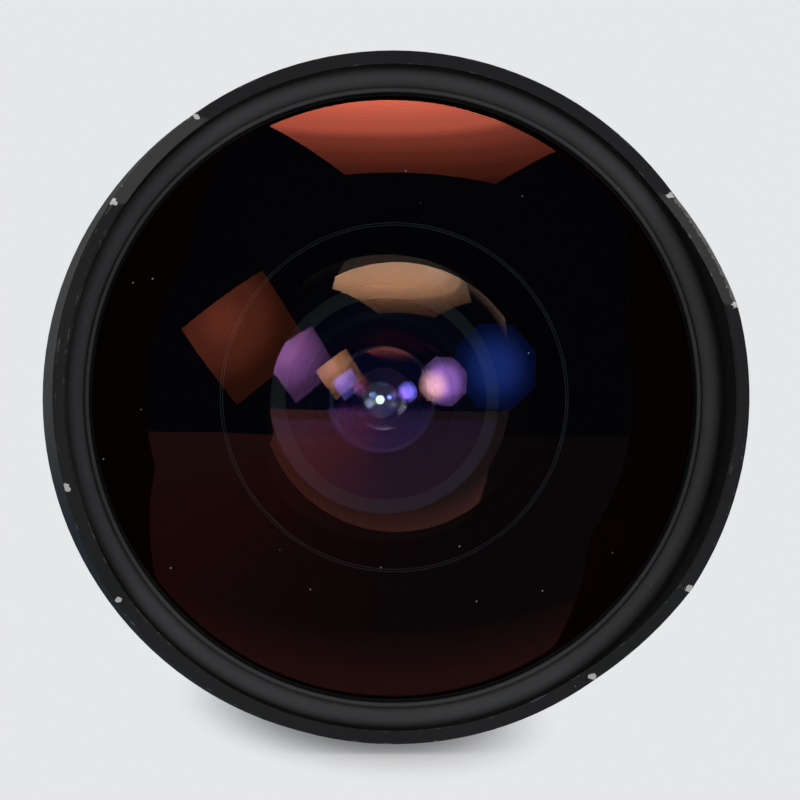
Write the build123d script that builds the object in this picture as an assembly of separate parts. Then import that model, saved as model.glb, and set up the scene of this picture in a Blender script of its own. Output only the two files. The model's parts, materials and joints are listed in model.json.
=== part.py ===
from build123d import *
import os
from dataclasses import dataclass, field
from math import asin, copysign, cos, degrees, radians, sin, sqrt

# Wide-angle lens for a full-frame camera, millimetres.
# The pieces are drawn about the optical axis: radius from the axis, height along it.
# Height 0 is the mount's flange face, and heights grow towards the subject.
# The last step lays the axis down, so that the lens looks along -Y with +Z up.

# Overall sizes
tip_height = 94.0
petal_depth = 10.0
hood_radius = 41.75
hood_wall = 1.6
dome_below_tips = 1.1
dome_rise = 11.9

# Working gaps between pieces that move on each other, and round loose fasteners
running = 0.05
gap = 0.3
screw_gap = 0.05
pin_play = 0.15

# Small chamfers on turned edges, and how far screw heads sit below their face
edge_chamfer = 0.4
fine_chamfer = 0.3
head_sink = 0.1

# Optics
focal_length = 15.0
pupil_ratio = 0.4
rim_seat = 2.35
stop_to_rear_group = 4.6


@dataclass
class Element:
    """One glass element. A curve is positive when its centre lies behind the surface."""

    front_curve: float
    rear_curve: float
    thickness: float
    rim: float
    front_clear: float
    rear_clear: float
    air: float
    vertex: float = field(default=0.0)

    @property
    def rear_vertex(self):
        return self.vertex - self.thickness

    @property
    def front_edge(self):
        return self.front_height(self.front_clear)

    @property
    def rear_edge(self):
        return self.rear_height(self.rear_clear)

    def front_height(self, radius):
        return self.vertex - sagitta(self.front_curve, radius)

    def rear_height(self, radius):
        return self.rear_vertex - sagitta(self.rear_curve, radius)


# The front element fills the hood, and its curve follows from its rim and the dome's rise
hood_bore = hood_radius - hood_wall
dome_rim = hood_bore - rim_seat
dome_curve = (dome_rim * dome_rim + dome_rise * dome_rise) / (2 * dome_rise)

# Six elements in front of the iris and seven behind it
element_1 = Element(dome_curve, 30.0, 6.3, rim=dome_rim, front_clear=dome_rim, rear_clear=19.4, air=12.3)
element_2 = Element(80.0, 22.5, 2.6, rim=21.0, front_clear=20.0, rear_clear=15.5, air=9.4)
element_3 = Element(110.0, 14.5, 2.0, rim=13.2, front_clear=12.4, rear_clear=9.8, air=5.4)
element_4 = Element(44.0, -34.0, 9.0, rim=10.4, front_clear=9.6, rear_clear=9.0, air=1.0)
element_5 = Element(60.0, 17.0, 2.0, rim=10.4, front_clear=9.0, rear_clear=8.4, air=4.5)
element_6 = Element(24.0, -60.0, 6.0, rim=10.4, front_clear=8.4, rear_clear=8.4, air=4.0)
element_7 = Element(-37.5, -38.0, 2.2, rim=8.2, front_clear=6.8, rear_clear=6.8, air=0.5)
element_8 = Element(64.0, -21.5, 4.2, rim=8.2, front_clear=6.8, rear_clear=8.2, air=0.0)
element_9 = Element(-21.5, 29.0, 1.4, rim=8.2, front_clear=8.2, rear_clear=7.4, air=3.4)
element_10 = Element(-22.2, 29.5, 1.4, rim=9.8, front_clear=8.4, rear_clear=8.4, air=2.0)
element_11 = Element(-110.0, -18.4, 3.4, rim=9.8, front_clear=8.8, rear_clear=8.8, air=0.4)
element_12 = Element(88.0, -25.0, 4.4, rim=11.0, front_clear=9.6, rear_clear=10.2, air=0.4)
element_13 = Element(52.0, -52.0, 4.0, rim=11.0, front_clear=10.2, rear_clear=10.2, air=0.0)
front_group = [element_1, element_2, element_3, element_4, element_5, element_6]
rear_group = [element_7, element_8, element_9, element_10, element_11, element_12, element_13]


@dataclass(frozen=True)
class Screw:
    """Countersunk screw, drawn with its head's face at height 0 and its point below."""

    shank: float
    length: float
    head: float
    head_height: float

    def body(self, cross=False):
        """The screw itself, with a cross recess where its head shows."""
        solid = turned(
            (0, 0),
            (self.head, 0),
            (self.shank, -self.head_height),
            (self.shank, -self.length),
            (0, -self.length),
        )
        if cross:
            arm = Box(self.head * cross_reach, self.head * cross_width, self.head_height)
            solid -= arm + Rot(0, 0, 90) * arm
        return solid

    def hole(self, threaded=False):
        """Its hole, loose round the head, and round the shank too where it isn't threaded."""
        shank = self.shank if threaded else self.shank + screw_gap
        head = self.head + screw_gap
        return turned(
            (0, gap),
            (head, gap),
            (head, 0),
            (shank, -self.head_height),
            (shank, -self.length),
            (0, -self.length),
        )


# Bayonet mount, whose tube and lugs fit one kind of camera
tube_radius = 23.9
tube_depth = 5.6
tube_wall = 2.4
ledge_reach = 2.3
ledge_thickness = 2.0
baffle_thickness = 1.2
baffle_opening_gap = 0.4
lug_count = 3
lug_reach = 2.0
lug_thickness = 1.7
lug_angle = 50.0
flange_reach = 1.4
flange_thickness = 2.4
lock_hole_radius = 1.5
lock_hole_angle = 38.0
bead_radius = 1.1
bead_length = 1.6
bead_crown = 0.9
bead_angle = 180.0

# Fixed barrel, outwards from the bayonet's tube
neck_step = 2.5
neck_wall = 3.2
shoulder_step = 2.0
guide_step = 1.0
shoulder_height = 12.0
scale_ring_height = 5.0
scale_ring_wall = 2.3
scale_ring_bevel = 0.6
guide_start = 18.5
bearing_end = 34.0
web_low = 3.0
web_thickness = 2.0
web_step = 1.2

# Aperture ring
aperture_ring_wall = 3.6
aperture_band_step = 0.7
aperture_grip_length = 4.2
aperture_grip_grooves = 40
aperture_groove_radius = 0.9
aperture_groove_offset = 0.35
aperture_groove_shift = 0.5
stops = [3.5, 4.0, 5.6, 8.0, 11.0, 16.0, 22.0]
stop_at_rest = 16.0

# Click ball and its leaf spring
ball_radius = 1.0
ball_rise = 0.3
ball_clearance = 0.05
ball_above_middle = 1.2
ball_angle = 90.0
notch_play = 0.15
notch_length = 3.2
leaf_thickness = 0.4
leaf_width = 3.0
leaf_angle = 50.0
leaf_tail = 5.0
leaf_boss_radius = 0.8

# Aperture key, which carries the ring's turn forward to the iris
key_angle = 30.0
key_thickness = 2.5
key_width = 2.4
key_foot_width = 7.0
key_foot_height = 2.0
key_foot_low = 7.6
key_foot_bite = 1.8
key_screw_spacing = 4.8
key_end_margin = 1.2

# Iris
blade_count = 6
blade_thickness = 0.12
blade_pitch = 0.18
blade_edge = 5.7
blade_outer = 10.4
blade_root = 13.2
blade_root_step = 1.0
blade_span = 122.0
blade_heel = 6.0
blade_shoulder = 31.0
blade_corner = 0.4
pivot_radius = 12.0
drive_radius = 12.5
drive_angle = 25.0
pin_radius = 0.5
pin_clearance = 0.1
pin_in_plate = 0.7
pin_room_in_plate = 0.8
ring_turn_per_blade_turn = 2.0
iris_hole = 5.4
iris_hole_bevel = 0.8
iris_plate_thickness = 1.4
iris_wall_bore = 14.85
iris_wall_radius = 17.0
iris_collar_wall = 1.4
iris_collar_length = 5.5
cam_thickness = 1.2
cam_bore = 7.2
cam_play = 0.2
cam_slot_margin = 0.6
cover_thickness = 1.0
cover_bore = 7.0
fork_reach = 0.6
fork_width = 5.4
fork_overlap = 1.0

# Stop-down lever
lever_tube_wall = 1.15
lever_arm_step = 0.9
lever_tail = 0.4
lever_flange_reach = 1.6
lever_flange_thickness = 1.0
lever_arm_angle = 250.0
lever_arm_width = 3.2
lever_arm_end = 7.4
lever_turn = 12.0

# Focusing, outwards from the fixed barrel's bearing
focus_turn = 130.0
focus_travel = 4.2
sleeve_wall = 3.4
sleeve_groove_wall = 1.5
sleeve_end = 52.0
collar_step = 0.6
collar_chamfer = 0.5
retainer_height = 2.0
retainer_seat = 1.0
retainer_notch = 1.0
retainer_notch_width = 1.6
nut_start = 36.8
nut_below_end = 0.5
nut_chamfer = 0.6
nut_screw_radius = 0.8
nut_screw_above_start = 4.0
helicoid_wall = 2.4
helicoid_start = 38.0
helicoid_bore_slope = 1.5
guide_wall = 1.6
guide_low = 19.5
guide_key_count = 3
guide_key_start = 60.0
guide_key_width = 3.0
guide_key_low = 21.0
guide_key_length = 9.0
guide_key_short = 0.1
guide_key_screws = (0.25, 0.75)
stop_pin_radius = 0.8
stop_pin_reach = 1.0
stop_pin_depth = 2.0
stop_pin_height = 27.0
stop_pin_angle = 270.0
grip_low = 25.5
grip_high = 46.5
grip_thickness = 1.9
grip_skin = 0.8
grip_rib_count = 60
grip_rib_slot = 1.2
grip_row_count = 3
grip_row_slot = 1.1

# Front barrel and hood, downwards from the hood's valleys
hood_length = 11.8
hood_band = 1.7
hood_band_step = 0.55
hood_band_bevel = 0.5
flare_length = 14.0
flare_bulge = 0.7
barrel_gap = 0.6
barrel_wall = 2.0
cone_below_seat = 6.2
seat_width = 2.0
spigot_above_seat = 0.6
petal_tip_half = 17.0
petal_base_half = 29.5
petal_corner = 1.2
rim_chamfer = 0.3
lens_flange_below_tips = 38.0
lens_flange_height = 4.0
cell_flange_height = 2.5
cell_flange_gap = 0.4

# Grey ring over the front element, and its seal
ring_overlap = 1.0
seal_overlap = 1.45
seal_thickness = 0.25
ring_below_rim = 0.9
ring_lip_drop = 0.4
ring_lip_round = 0.15
ring_lip_width = 0.4
ring_step_width = 0.25
ring_step_drop = 0.35
ring_groove_width = 0.25
ring_groove_drop = 0.8
hump_share = 0.54

# Cells
front_cell_wall = 2.2
middle_cell_wall = 2.2
rear_cell_wall = 1.6
ring_wall = 1.2
element_2_ring_low = 2.4
element_2_ring_high = 2.0
element_2_cone = 1.6
element_2_lip = 0.5
element_2_ring_notch = 1.0
element_2_ring_notch_width = 1.4
cell_cone_start = 1.0
cell_cone_end = 4.0
rear_web_thickness = 2.0
rear_waist_wall = 3.4
rear_flare_rise = 2.0
rear_tail = 0.4
rear_notch_width = 1.2
rear_notch_depth = 0.7

# Screws, how deep the through ones bite, and the angle of the first of each set
cross_reach = 1.1
cross_width = 0.3
guide_screw_bite = 0.8 * guide_wall
key_screw_bite = 0.7
cell_screw_bite = 3.0
iris_screw_bite = 1.8
mount_screw = Screw(shank=0.75, length=4.4, head=1.5, head_height=0.9)
mount_screw_count = 4
mount_screw_start = 10.0
baffle_screw = Screw(shank=0.5, length=2.4, head=0.8, head_height=0.48)
baffle_screw_count = 3
baffle_screw_start = 70.0
click_screw = Screw(shank=0.5, length=2.4, head=0.8, head_height=leaf_thickness)
click_screw_share = 0.8
guide_screw = Screw(
    shank=0.6,
    length=shoulder_step + guide_step + guide_screw_bite - head_sink,
    head=1.1,
    head_height=0.7,
)
key_screw = Screw(
    shank=0.5,
    length=tube_wall + neck_step + neck_wall + key_foot_bite + key_screw_bite,
    head=0.85,
    head_height=0.5,
)
cell_screw = Screw(
    shank=0.9, length=cell_flange_height + cell_screw_bite, head=1.6, head_height=1.0
)
cell_screw_count = 4
cell_screw_start = 45.0
iris_screw = Screw(
    shank=0.5,
    length=rear_web_thickness + cover_thickness + iris_screw_bite,
    head=0.85,
    head_height=0.5,
)
iris_screw_count = 3
iris_screw_start = 80.0
grub_radius = 0.7
grub_slot = 0.25
grub_slot_depth = 0.3
grub_sink = 0.2
grub_count = 3
scale_grub_start = 25.0
scale_grub_height = 2.5
nut_grub_start = 15.0
retainer_notch_count = 4
retainer_notch_start = 45.0


def sagitta(curve, radius):
    """How far a sphere has fallen behind its vertex at a radius from the axis."""
    return curve - copysign(sqrt(curve * curve - radius * radius), curve)


def turned(*outline):
    """Solid of revolution about the axis from (radius, height) corners."""
    profile = Plane.XZ * Polyline(*outline, close=True)
    return revolve(make_face(profile), Axis.Z)


def ring(inner, outer, low, high):
    """Plain ring between two radii and two heights."""
    return turned((inner, low), (outer, low), (outer, high), (inner, high))


def sector(inner, outer, low, high, middle, width):
    """Piece of a ring, centred on an angle and so many degrees wide."""
    profile = Plane.XZ * Polyline(
        (inner, low), (outer, low), (outer, high), (inner, high), close=True
    )
    wedge = revolve(make_face(profile), Axis.Z, width)
    return Rot(0, 0, middle - width / 2) * wedge


def bar(inner, outer, width, low, high, angle):
    """Straight block that points away from the axis at an angle."""
    block = Pos((inner + outer) / 2, 0, (low + high) / 2) * Box(outer - inner, width, high - low)
    return Rot(0, 0, angle) * block


def around(piece, count, start=0.0):
    """Copies of a piece spread evenly about the axis."""
    return [Rot(0, 0, start + 360.0 * turn / count) * piece for turn in range(count)]


def grub(radius, length, slot=0.0):
    """Headless screw along the vertical, with a driver slot in its top where that shows."""
    solid = Cylinder(radius, length)
    if slot:
        solid -= Pos(0, 0, length / 2) * Box(3 * radius, slot, 2 * grub_slot_depth)
    return solid


def pointing_out(piece, radius, height, angle):
    """Turns a screw so that its head faces the axis, at a radius, and it points outwards."""
    return Rot(0, 0, angle) * Pos(radius, 0, height) * Rot(0, -90, 0) * piece


def pointing_in(piece, radius, height, angle):
    """Turns a screw so that its head faces outwards, at a radius, and it points inwards."""
    return Rot(0, 0, angle) * Pos(radius, 0, height) * Rot(0, 90, 0) * piece


def glass(element):
    """Element with spherical faces, flat edge lands and a ground rim."""
    front_middle = element.front_clear / 2
    rear_middle = element.rear_clear / 2
    front_end = (element.front_clear, element.front_edge)
    rear_end = (element.rear_clear, element.rear_edge)
    front = ThreePointArc(
        (0, element.vertex), (front_middle, element.front_height(front_middle)), front_end
    )
    rear = ThreePointArc(
        rear_end, (rear_middle, element.rear_height(rear_middle)), (0, element.rear_vertex)
    )
    corners = [front_end, (element.rim, element.front_edge), (element.rim, element.rear_edge), rear_end]
    corners = [corner for n, corner in enumerate(corners) if n == 0 or corner != corners[n - 1]]
    edge = Polyline(*corners) if len(corners) > 2 else Line(*corners)
    middle = Line((0, element.rear_vertex), (0, element.vertex))
    return revolve(make_face(Plane.XZ * (front + edge + rear + middle)), Axis.Z)


def spacer(front, rear):
    """Ring that keeps two elements of one bore apart, resting on their flat lands."""
    inner = max(front.rear_clear, rear.front_clear)
    return ring(inner, front.rim, rear.front_edge, front.rear_edge)


def front_spacers():
    """The spacing rings between the second and third, fourth and fifth, fifth and sixth elements."""
    under_2 = ring(element_3.front_clear, element_3.rim, element_3.front_edge, element_2.rear_edge)
    return [under_2, spacer(element_4, element_5), spacer(element_5, element_6)]


def rear_spacers():
    """The spacing rings of the rear group, from front to rear."""
    inner = element_11.rear_clear
    low = element_12.front_height(inner)
    return [
        spacer(element_7, element_8),
        spacer(element_10, element_11),
        ring(inner, element_11.rim, low, element_11.rear_edge),
        spacer(element_12, element_13),
    ]


# Places along the axis that follow from the sizes above
valley_height = tip_height - petal_depth
height = tip_height - dome_below_tips
for element in front_group:
    element.vertex = height
    height = element.rear_vertex - element.air
stop_height = height
height = stop_height - stop_to_rear_group
for element in rear_group:
    element.vertex = height
    height = element.rear_vertex - element.air

ledge_low = baffle_thickness - tube_depth
ledge_high = ledge_low + ledge_thickness
web_high = web_low + web_thickness
scale_ring_end = shoulder_height + scale_ring_height
aperture_low = flange_thickness + gap
aperture_high = shoulder_height - gap
ball_height = (aperture_low + aperture_high) / 2 + ball_above_middle
hood_start = valley_height - hood_length
flare_end = hood_start - hood_band - hood_band_bevel
flare_start = flare_end - flare_length
spigot_end = element_1.rear_edge + spigot_above_seat
barrel_start = sleeve_end + barrel_gap
lens_flange_low = tip_height - lens_flange_below_tips
lens_flange_high = lens_flange_low + lens_flange_height

# Radii that follow, outwards from the bayonet's tube to the focusing grip
throat_radius = tube_radius - tube_wall
ledge_radius = throat_radius - ledge_reach
web_bore = ledge_radius - web_step
key_inner = throat_radius
key_outer = key_inner + key_thickness
neck_bore = tube_radius + neck_step
neck_radius = neck_bore + neck_wall
flange_radius = neck_radius + flange_reach
aperture_bore = neck_radius + running
aperture_ring_radius = neck_radius + aperture_ring_wall
aperture_band_radius = aperture_ring_radius - aperture_band_step
key_foot_reach = neck_radius + key_foot_bite
ball_centre = aperture_bore - ball_clearance - ball_radius
bearing_radius = neck_radius + shoulder_step
retainer_thread = bearing_radius - retainer_seat
guide_bore = neck_radius - guide_step
lens_bore_radius = guide_bore - running
helicoid_radius = guide_bore + helicoid_wall
sleeve_radius = bearing_radius + sleeve_wall
sleeve_groove = sleeve_radius - sleeve_groove_wall
retainer_radius = sleeve_groove - gap
grip_radius = sleeve_radius + grip_thickness
barrel_start_radius = sleeve_radius + collar_step
flare_end_radius = hood_radius - hood_band_step

# Radii of the cells, and of the ring and seal over the front element
front_cell_radius = element_2.rim + front_cell_wall
middle_cell_radius = element_4.rim + middle_cell_wall
rear_cell_radius = element_13.rim + rear_cell_wall
cell_flange_radius = guide_bore - cell_flange_gap
retaining_bore = element_1.rim - ring_overlap
seal_bore = element_1.rim - seal_overlap

# Circles on which the screws sit
mount_screw_circle = (neck_bore + neck_radius) / 2
lock_circle = mount_screw_circle
baffle_screw_circle = (ledge_radius + throat_radius) / 2
cell_screw_circle = (front_cell_radius + cell_flange_radius) / 2
iris_screw_circle = (iris_wall_bore + iris_wall_radius) / 2

# Iris heights, from the front plate's rear face down to the rear cell
blade_top = stop_height + blade_pitch * (blade_count - 1) / 2 + blade_thickness / 2
iris_plate_low = blade_top + blade_pitch - blade_thickness
iris_plate_high = iris_plate_low + iris_plate_thickness
cam_high = blade_top - blade_pitch * blade_count - cam_play
cam_low = cam_high - cam_thickness
cover_high = cam_low - cam_play
cover_low = cover_high - cover_thickness


def closing(stop):
    """Blade angle, in degrees from wide open, that leaves the opening of an f-stop."""
    opening = focal_length / (2 * stop) / pupil_ratio
    return 2 * degrees(asin((blade_edge - opening) / (2 * pivot_radius)))


blade_at_rest = closing(stop_at_rest)
ring_opens = ring_turn_per_blade_turn * (blade_at_rest - closing(stops[0]))
ring_closes = ring_turn_per_blade_turn * (closing(stops[-1]) - blade_at_rest)
ring_middle = (ring_closes - ring_opens) / 2
ring_range = ring_opens + ring_closes


def mount_ring():
    """Bayonet ring with three lugs, a lock-pin hole, countersunk screw holes and an inner ledge."""
    body = turned(
        (throat_radius, -tube_depth),
        (tube_radius, -tube_depth),
        (tube_radius, 0),
        (flange_radius, 0),
        (flange_radius, flange_thickness),
        (throat_radius, flange_thickness),
        (throat_radius, ledge_high),
        (ledge_radius, ledge_high),
        (ledge_radius, ledge_low),
        (throat_radius, ledge_low),
    )
    low = -tube_depth
    lug = sector(tube_radius - gap, tube_radius + lug_reach, low, low + lug_thickness, 0, lug_angle)
    for copy in around(lug, lug_count):
        body += copy
    body -= at_mount_screws(mount_screw.hole())
    body -= at_baffle_screws(baffle_screw.hole(threaded=True))
    lock = Pos(lock_circle, 0, flange_thickness / 2) * Cylinder(lock_hole_radius, flange_thickness)
    return body - Rot(0, 0, lock_hole_angle) * lock - index_bead()


def at_mount_screws(piece):
    """A screw, or its hole, at each place where the bayonet ring is held on the fixed barrel."""
    placed = Pos(mount_screw_circle, 0, head_sink) * Rot(180, 0, 0) * piece
    return around(placed, mount_screw_count, mount_screw_start)


def at_baffle_screws(piece):
    """A screw, or its hole, at each place where the light baffle is held on the bayonet's ledge."""
    placed = Pos(baffle_screw_circle, 0, head_sink - tube_depth) * Rot(180, 0, 0) * piece
    return around(placed, baffle_screw_count, baffle_screw_start)


def index_bead():
    """Mounting index bead, set in the flange's edge in line with a hood petal."""
    crown = Pos(0, 0, bead_length / 2) * Sphere(bead_radius * bead_crown)
    bead = Cylinder(bead_radius, bead_length) + crown
    place = Pos(flange_radius - bead_length / 2, 0, flange_thickness / 2)
    return Rot(0, 0, bead_angle) * place * Rot(0, 90, 0) * bead


def rear_baffle():
    """Black plate that closes the bayonet round the rear element, with a slot for the lever."""
    opening = rear_cell_radius + baffle_opening_gap
    plate = ring(opening, throat_radius, -tube_depth, ledge_low)
    lower, upper = lever_arm_radii()
    slot = sector(
        lower - gap,
        upper + gap,
        -tube_depth - gap,
        ledge_low + gap,
        lever_arm_angle + lever_turn / 2,
        lever_turn + 2 * degrees(asin((lever_arm_width / 2 + gap) / lower)),
    )
    return plate - slot - at_baffle_screws(baffle_screw.hole())


def rear_barrel():
    """Fixed barrel: neck for the aperture ring, shoulder for the scale and bearing for focusing."""
    body = turned(
        (neck_radius, flange_thickness),
        (neck_radius, shoulder_height),
        (bearing_radius, shoulder_height),
        (bearing_radius, bearing_end),
        (retainer_thread, bearing_end),
        (retainer_thread, bearing_end + retainer_height),
        (guide_bore, bearing_end + retainer_height),
        (guide_bore, guide_start),
        (neck_bore, guide_start),
        (neck_bore, web_high),
        (web_bore, web_high),
        (web_bore, web_low),
        (neck_bore, web_low),
        (neck_bore, flange_thickness),
    )
    foot_half = degrees(asin(key_foot_width / 2 / neck_bore))
    body -= sector(
        neck_bore - gap,
        neck_radius + gap,
        key_foot_low - gap,
        key_foot_low + key_foot_height + gap,
        key_angle + ring_middle,
        ring_range + 2 * foot_half + 2,
    )
    ball_bore = Cylinder(ball_radius + running, 2 * neck_wall + 2 * gap)
    body -= pointing_out(ball_bore, neck_radius, ball_height, ball_angle)
    body -= at_mount_screws(mount_screw.hole(threaded=True))
    body -= at_guide_screws(guide_screw.hole())
    return body - at_click_screw(click_screw.hole(threaded=True)) - stop_pin()


def click_ball():
    """Click ball, resting just clear of the aperture ring's bore."""
    return Rot(0, 0, ball_angle) * Pos(ball_centre, 0, ball_height) * Sphere(ball_radius)


def click_spring():
    """Leaf spring on the neck's inner wall, with a boss that carries the click ball."""
    low = ball_height - leaf_width / 2
    middle = ball_angle + leaf_angle / 2 - leaf_tail
    leaf = sector(neck_bore - leaf_thickness, neck_bore, low, low + leaf_width, middle, leaf_angle)
    boss_top = ball_centre - ball_radius - ball_clearance
    boss_low = neck_bore - leaf_thickness / 2
    boss = Cylinder(leaf_boss_radius, boss_top - boss_low)
    leaf += pointing_out(boss, (boss_top + boss_low) / 2, ball_height, ball_angle)
    return leaf - at_click_screw(click_screw.hole())


def at_click_screw(piece):
    """The click spring's screw, or its hole, driven outwards near the far end of the leaf."""
    radius = neck_bore - leaf_thickness - head_sink
    return pointing_out(piece, radius, ball_height, ball_angle + leaf_angle * click_screw_share)


def scale_ring():
    """Fixed depth-of-field ring, with a small chamfer towards the aperture ring."""
    outer = bearing_radius + scale_ring_wall
    body = turned(
        (bearing_radius, shoulder_height),
        (outer - scale_ring_bevel, shoulder_height),
        (outer, shoulder_height + scale_ring_bevel),
        (outer, scale_ring_end),
        (bearing_radius, scale_ring_end),
    )
    return body - scale_screws()


def scale_screws(slot=0.0):
    """Grub screws that clamp the scale ring, or their holes with no slot."""
    length = scale_ring_wall - grub_sink
    one = grub(grub_radius, length, slot)
    one = pointing_in(one, bearing_radius + length / 2, shoulder_height + scale_grub_height, 0)
    return around(one, grub_count, scale_grub_start)


def guide_keys():
    """Keys that let the lens unit slide without turning."""
    low, high = guide_key_low, guide_key_low + guide_key_length
    arc = ring(guide_bore - guide_wall, guide_bore, low, high)
    key = arc & bar(guide_bore - 2 * guide_wall, guide_bore + gap, guide_key_width, low, high, 0)
    holes = at_guide_screws(guide_screw.hole(threaded=True))
    return [copy - holes for copy in around(key, guide_key_count, guide_key_start)]


def at_guide_screws(piece):
    """Two screws, or their holes, for each guide key, driven inwards through the fixed barrel."""
    placed = []
    for share in guide_key_screws:
        at = guide_key_low + guide_key_length * share
        one = pointing_in(piece, bearing_radius - head_sink, at, 0)
        placed += around(one, guide_key_count, guide_key_start)
    return placed


def stop_pin():
    """Pin that ends the focusing turn, standing out of the fixed barrel's bearing."""
    length = stop_pin_reach + stop_pin_depth
    pin = Cylinder(stop_pin_radius, length)
    middle = bearing_radius + stop_pin_reach - length / 2
    return pointing_in(pin, middle, stop_pin_height, stop_pin_angle)


def focus_retainer():
    """Ring on the fixed barrel's front end, which keeps the focusing sleeve on its bearing."""
    body = ring(retainer_thread, retainer_radius, bearing_end, bearing_end + retainer_height)
    high = bearing_end + retainer_height
    inner, outer = retainer_radius - retainer_notch, retainer_radius + gap
    notch = bar(inner, outer, retainer_notch_width, high - retainer_notch, high + gap, 0)
    return body - around(notch, retainer_notch_count, retainer_notch_start)


def aperture_ring():
    """Aperture ring with a scalloped grip, a smooth band for its numbers and click notches."""
    grip_top = aperture_low + aperture_grip_length
    body = turned(
        (aperture_bore, aperture_low),
        (aperture_ring_radius - edge_chamfer, aperture_low),
        (aperture_ring_radius, aperture_low + edge_chamfer),
        (aperture_ring_radius, grip_top),
        (aperture_band_radius, grip_top + edge_chamfer),
        (aperture_band_radius, aperture_high),
        (aperture_bore, aperture_high),
    )
    middle = aperture_low + aperture_grip_length / 2 - aperture_groove_shift
    groove = Cylinder(aperture_groove_radius, aperture_grip_length + 2 * aperture_groove_shift)
    groove = Pos(aperture_ring_radius + aperture_groove_offset, 0, middle) * groove
    body -= around(groove, aperture_grip_grooves)
    notch = Cylinder(ball_radius + notch_play, notch_length)
    notch = Pos(ball_centre + ball_rise, 0, ball_height) * notch
    for stop in stops:
        turn = ring_turn_per_blade_turn * (closing(stop) - blade_at_rest)
        body -= Rot(0, 0, ball_angle - turn) * notch
    foot_high = key_foot_low + key_foot_height
    body -= bar(neck_bore, key_foot_reach, key_foot_width, key_foot_low, foot_high, key_angle)
    return body - at_key_screws(key_screw.hole(threaded=True))


def aperture_key():
    """Bar that reaches forward from the aperture ring's foot into the iris fork."""
    foot_high = key_foot_low + key_foot_height
    foot = bar(key_inner, key_foot_reach, key_foot_width, key_foot_low, foot_high, key_angle)
    top = cam_high + focus_travel + key_end_margin
    body = foot + bar(key_inner, key_outer, key_width, key_foot_low, top, key_angle)
    return body - at_key_screws(key_screw.hole())


def at_key_screws(piece):
    """Two screws, or their holes, that draw the key's foot into the aperture ring."""
    middle = key_foot_low + key_foot_height / 2
    flat = Pos(key_inner + head_sink, 0, middle) * Rot(0, -90, 0) * piece
    spread = Pos(0, key_screw_spacing / 2, 0)
    return [Rot(0, 0, key_angle) * side * flat for side in (spread, spread.inverse())]


def focus_sleeve():
    """Focusing sleeve: turns on the fixed barrel and carries the focusing nut and the grip."""
    bore = bearing_radius + running
    low = scale_ring_end + gap
    step = bearing_end - gap
    collar = sleeve_radius + collar_step
    body = turned(
        (bore, low),
        (sleeve_radius - fine_chamfer, low),
        (sleeve_radius, low + fine_chamfer),
        (sleeve_radius, grip_high),
        (collar, grip_high),
        (collar, sleeve_end - collar_chamfer),
        (collar - collar_chamfer, sleeve_end),
        (sleeve_groove, sleeve_end),
        (sleeve_groove, step),
        (bore, step),
    )
    half_slot = stop_pin_radius + pin_play
    body -= sector(
        bore - gap,
        bearing_radius + stop_pin_reach + pin_play,
        stop_pin_height - half_slot,
        stop_pin_height + half_slot,
        stop_pin_angle - focus_turn / 2,
        focus_turn + 2 * degrees(asin(half_slot / bearing_radius)),
    )
    return body - focus_set_screws()


def focus_nut():
    """Bronze nut of the focusing helicoid, fixed in the sleeve."""
    bore = helicoid_radius + running
    high = sleeve_end - nut_below_end
    body = turned(
        (bore, nut_start),
        (sleeve_groove, nut_start),
        (sleeve_groove, high),
        (bore + nut_chamfer, high),
        (bore, high - nut_chamfer),
    )
    return body - focus_set_screws()


def focus_set_screws():
    """Grub screws under the grip, which lock the nut in the sleeve."""
    inner = (helicoid_radius + sleeve_groove) / 2
    one = grub(nut_screw_radius, sleeve_radius - grub_sink - inner)
    middle = (sleeve_radius - grub_sink + inner) / 2
    one = pointing_in(one, middle, nut_start + nut_screw_above_start, 0)
    return around(one, grub_count, nut_grub_start)


def focus_grip():
    """Ribbed rubber grip, three rows of blocks on a thin skin."""
    floor_radius = sleeve_radius + grip_skin
    row = (grip_high - grip_low - (grip_row_count - 1) * grip_row_slot) / grip_row_count
    outline = [(sleeve_radius, grip_low), (grip_radius, grip_low)]
    for n in range(grip_row_count - 1):
        edge = grip_low + (n + 1) * row + n * grip_row_slot
        outline += [(grip_radius, edge), (floor_radius, edge)]
        outline += [(floor_radius, edge + grip_row_slot), (grip_radius, edge + grip_row_slot)]
    outline += [(grip_radius, grip_high), (sleeve_radius, grip_high)]
    body = turned(*outline)
    slots = bar(floor_radius, grip_radius + gap, grip_rib_slot, grip_low - gap, grip_high + gap, 0)
    return body - around(slots, grip_rib_count)


def lens_tube():
    """Sliding tube of the lens unit: guide slots behind, helicoid in front and a flange inside."""
    wall_inner = guide_bore - guide_wall - guide_key_short
    body = turned(
        (wall_inner, guide_low),
        (lens_bore_radius, guide_low),
        (lens_bore_radius, helicoid_start),
        (helicoid_radius, helicoid_start),
        (helicoid_radius, lens_flange_high),
        (front_cell_radius + running, lens_flange_high),
        (front_cell_radius + running, lens_flange_low),
        (guide_bore, lens_flange_low),
        (guide_bore, helicoid_start + helicoid_bore_slope),
        (wall_inner, helicoid_start),
    )
    slot = bar(
        wall_inner - gap,
        guide_bore + gap,
        guide_key_width + 2 * running,
        guide_low - gap,
        guide_key_low + guide_key_length + gap,
        0,
    )
    body -= around(slot, guide_key_count, guide_key_start)
    return body - at_cell_screws(cell_screw.hole(threaded=True))


def at_cell_screws(piece):
    """A screw, or its hole, at each place where the front cell is held on the lens tube."""
    top = lens_flange_high + cell_flange_height
    placed = Pos(cell_screw_circle, 0, top - head_sink) * piece
    return around(placed, cell_screw_count, cell_screw_start)


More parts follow.
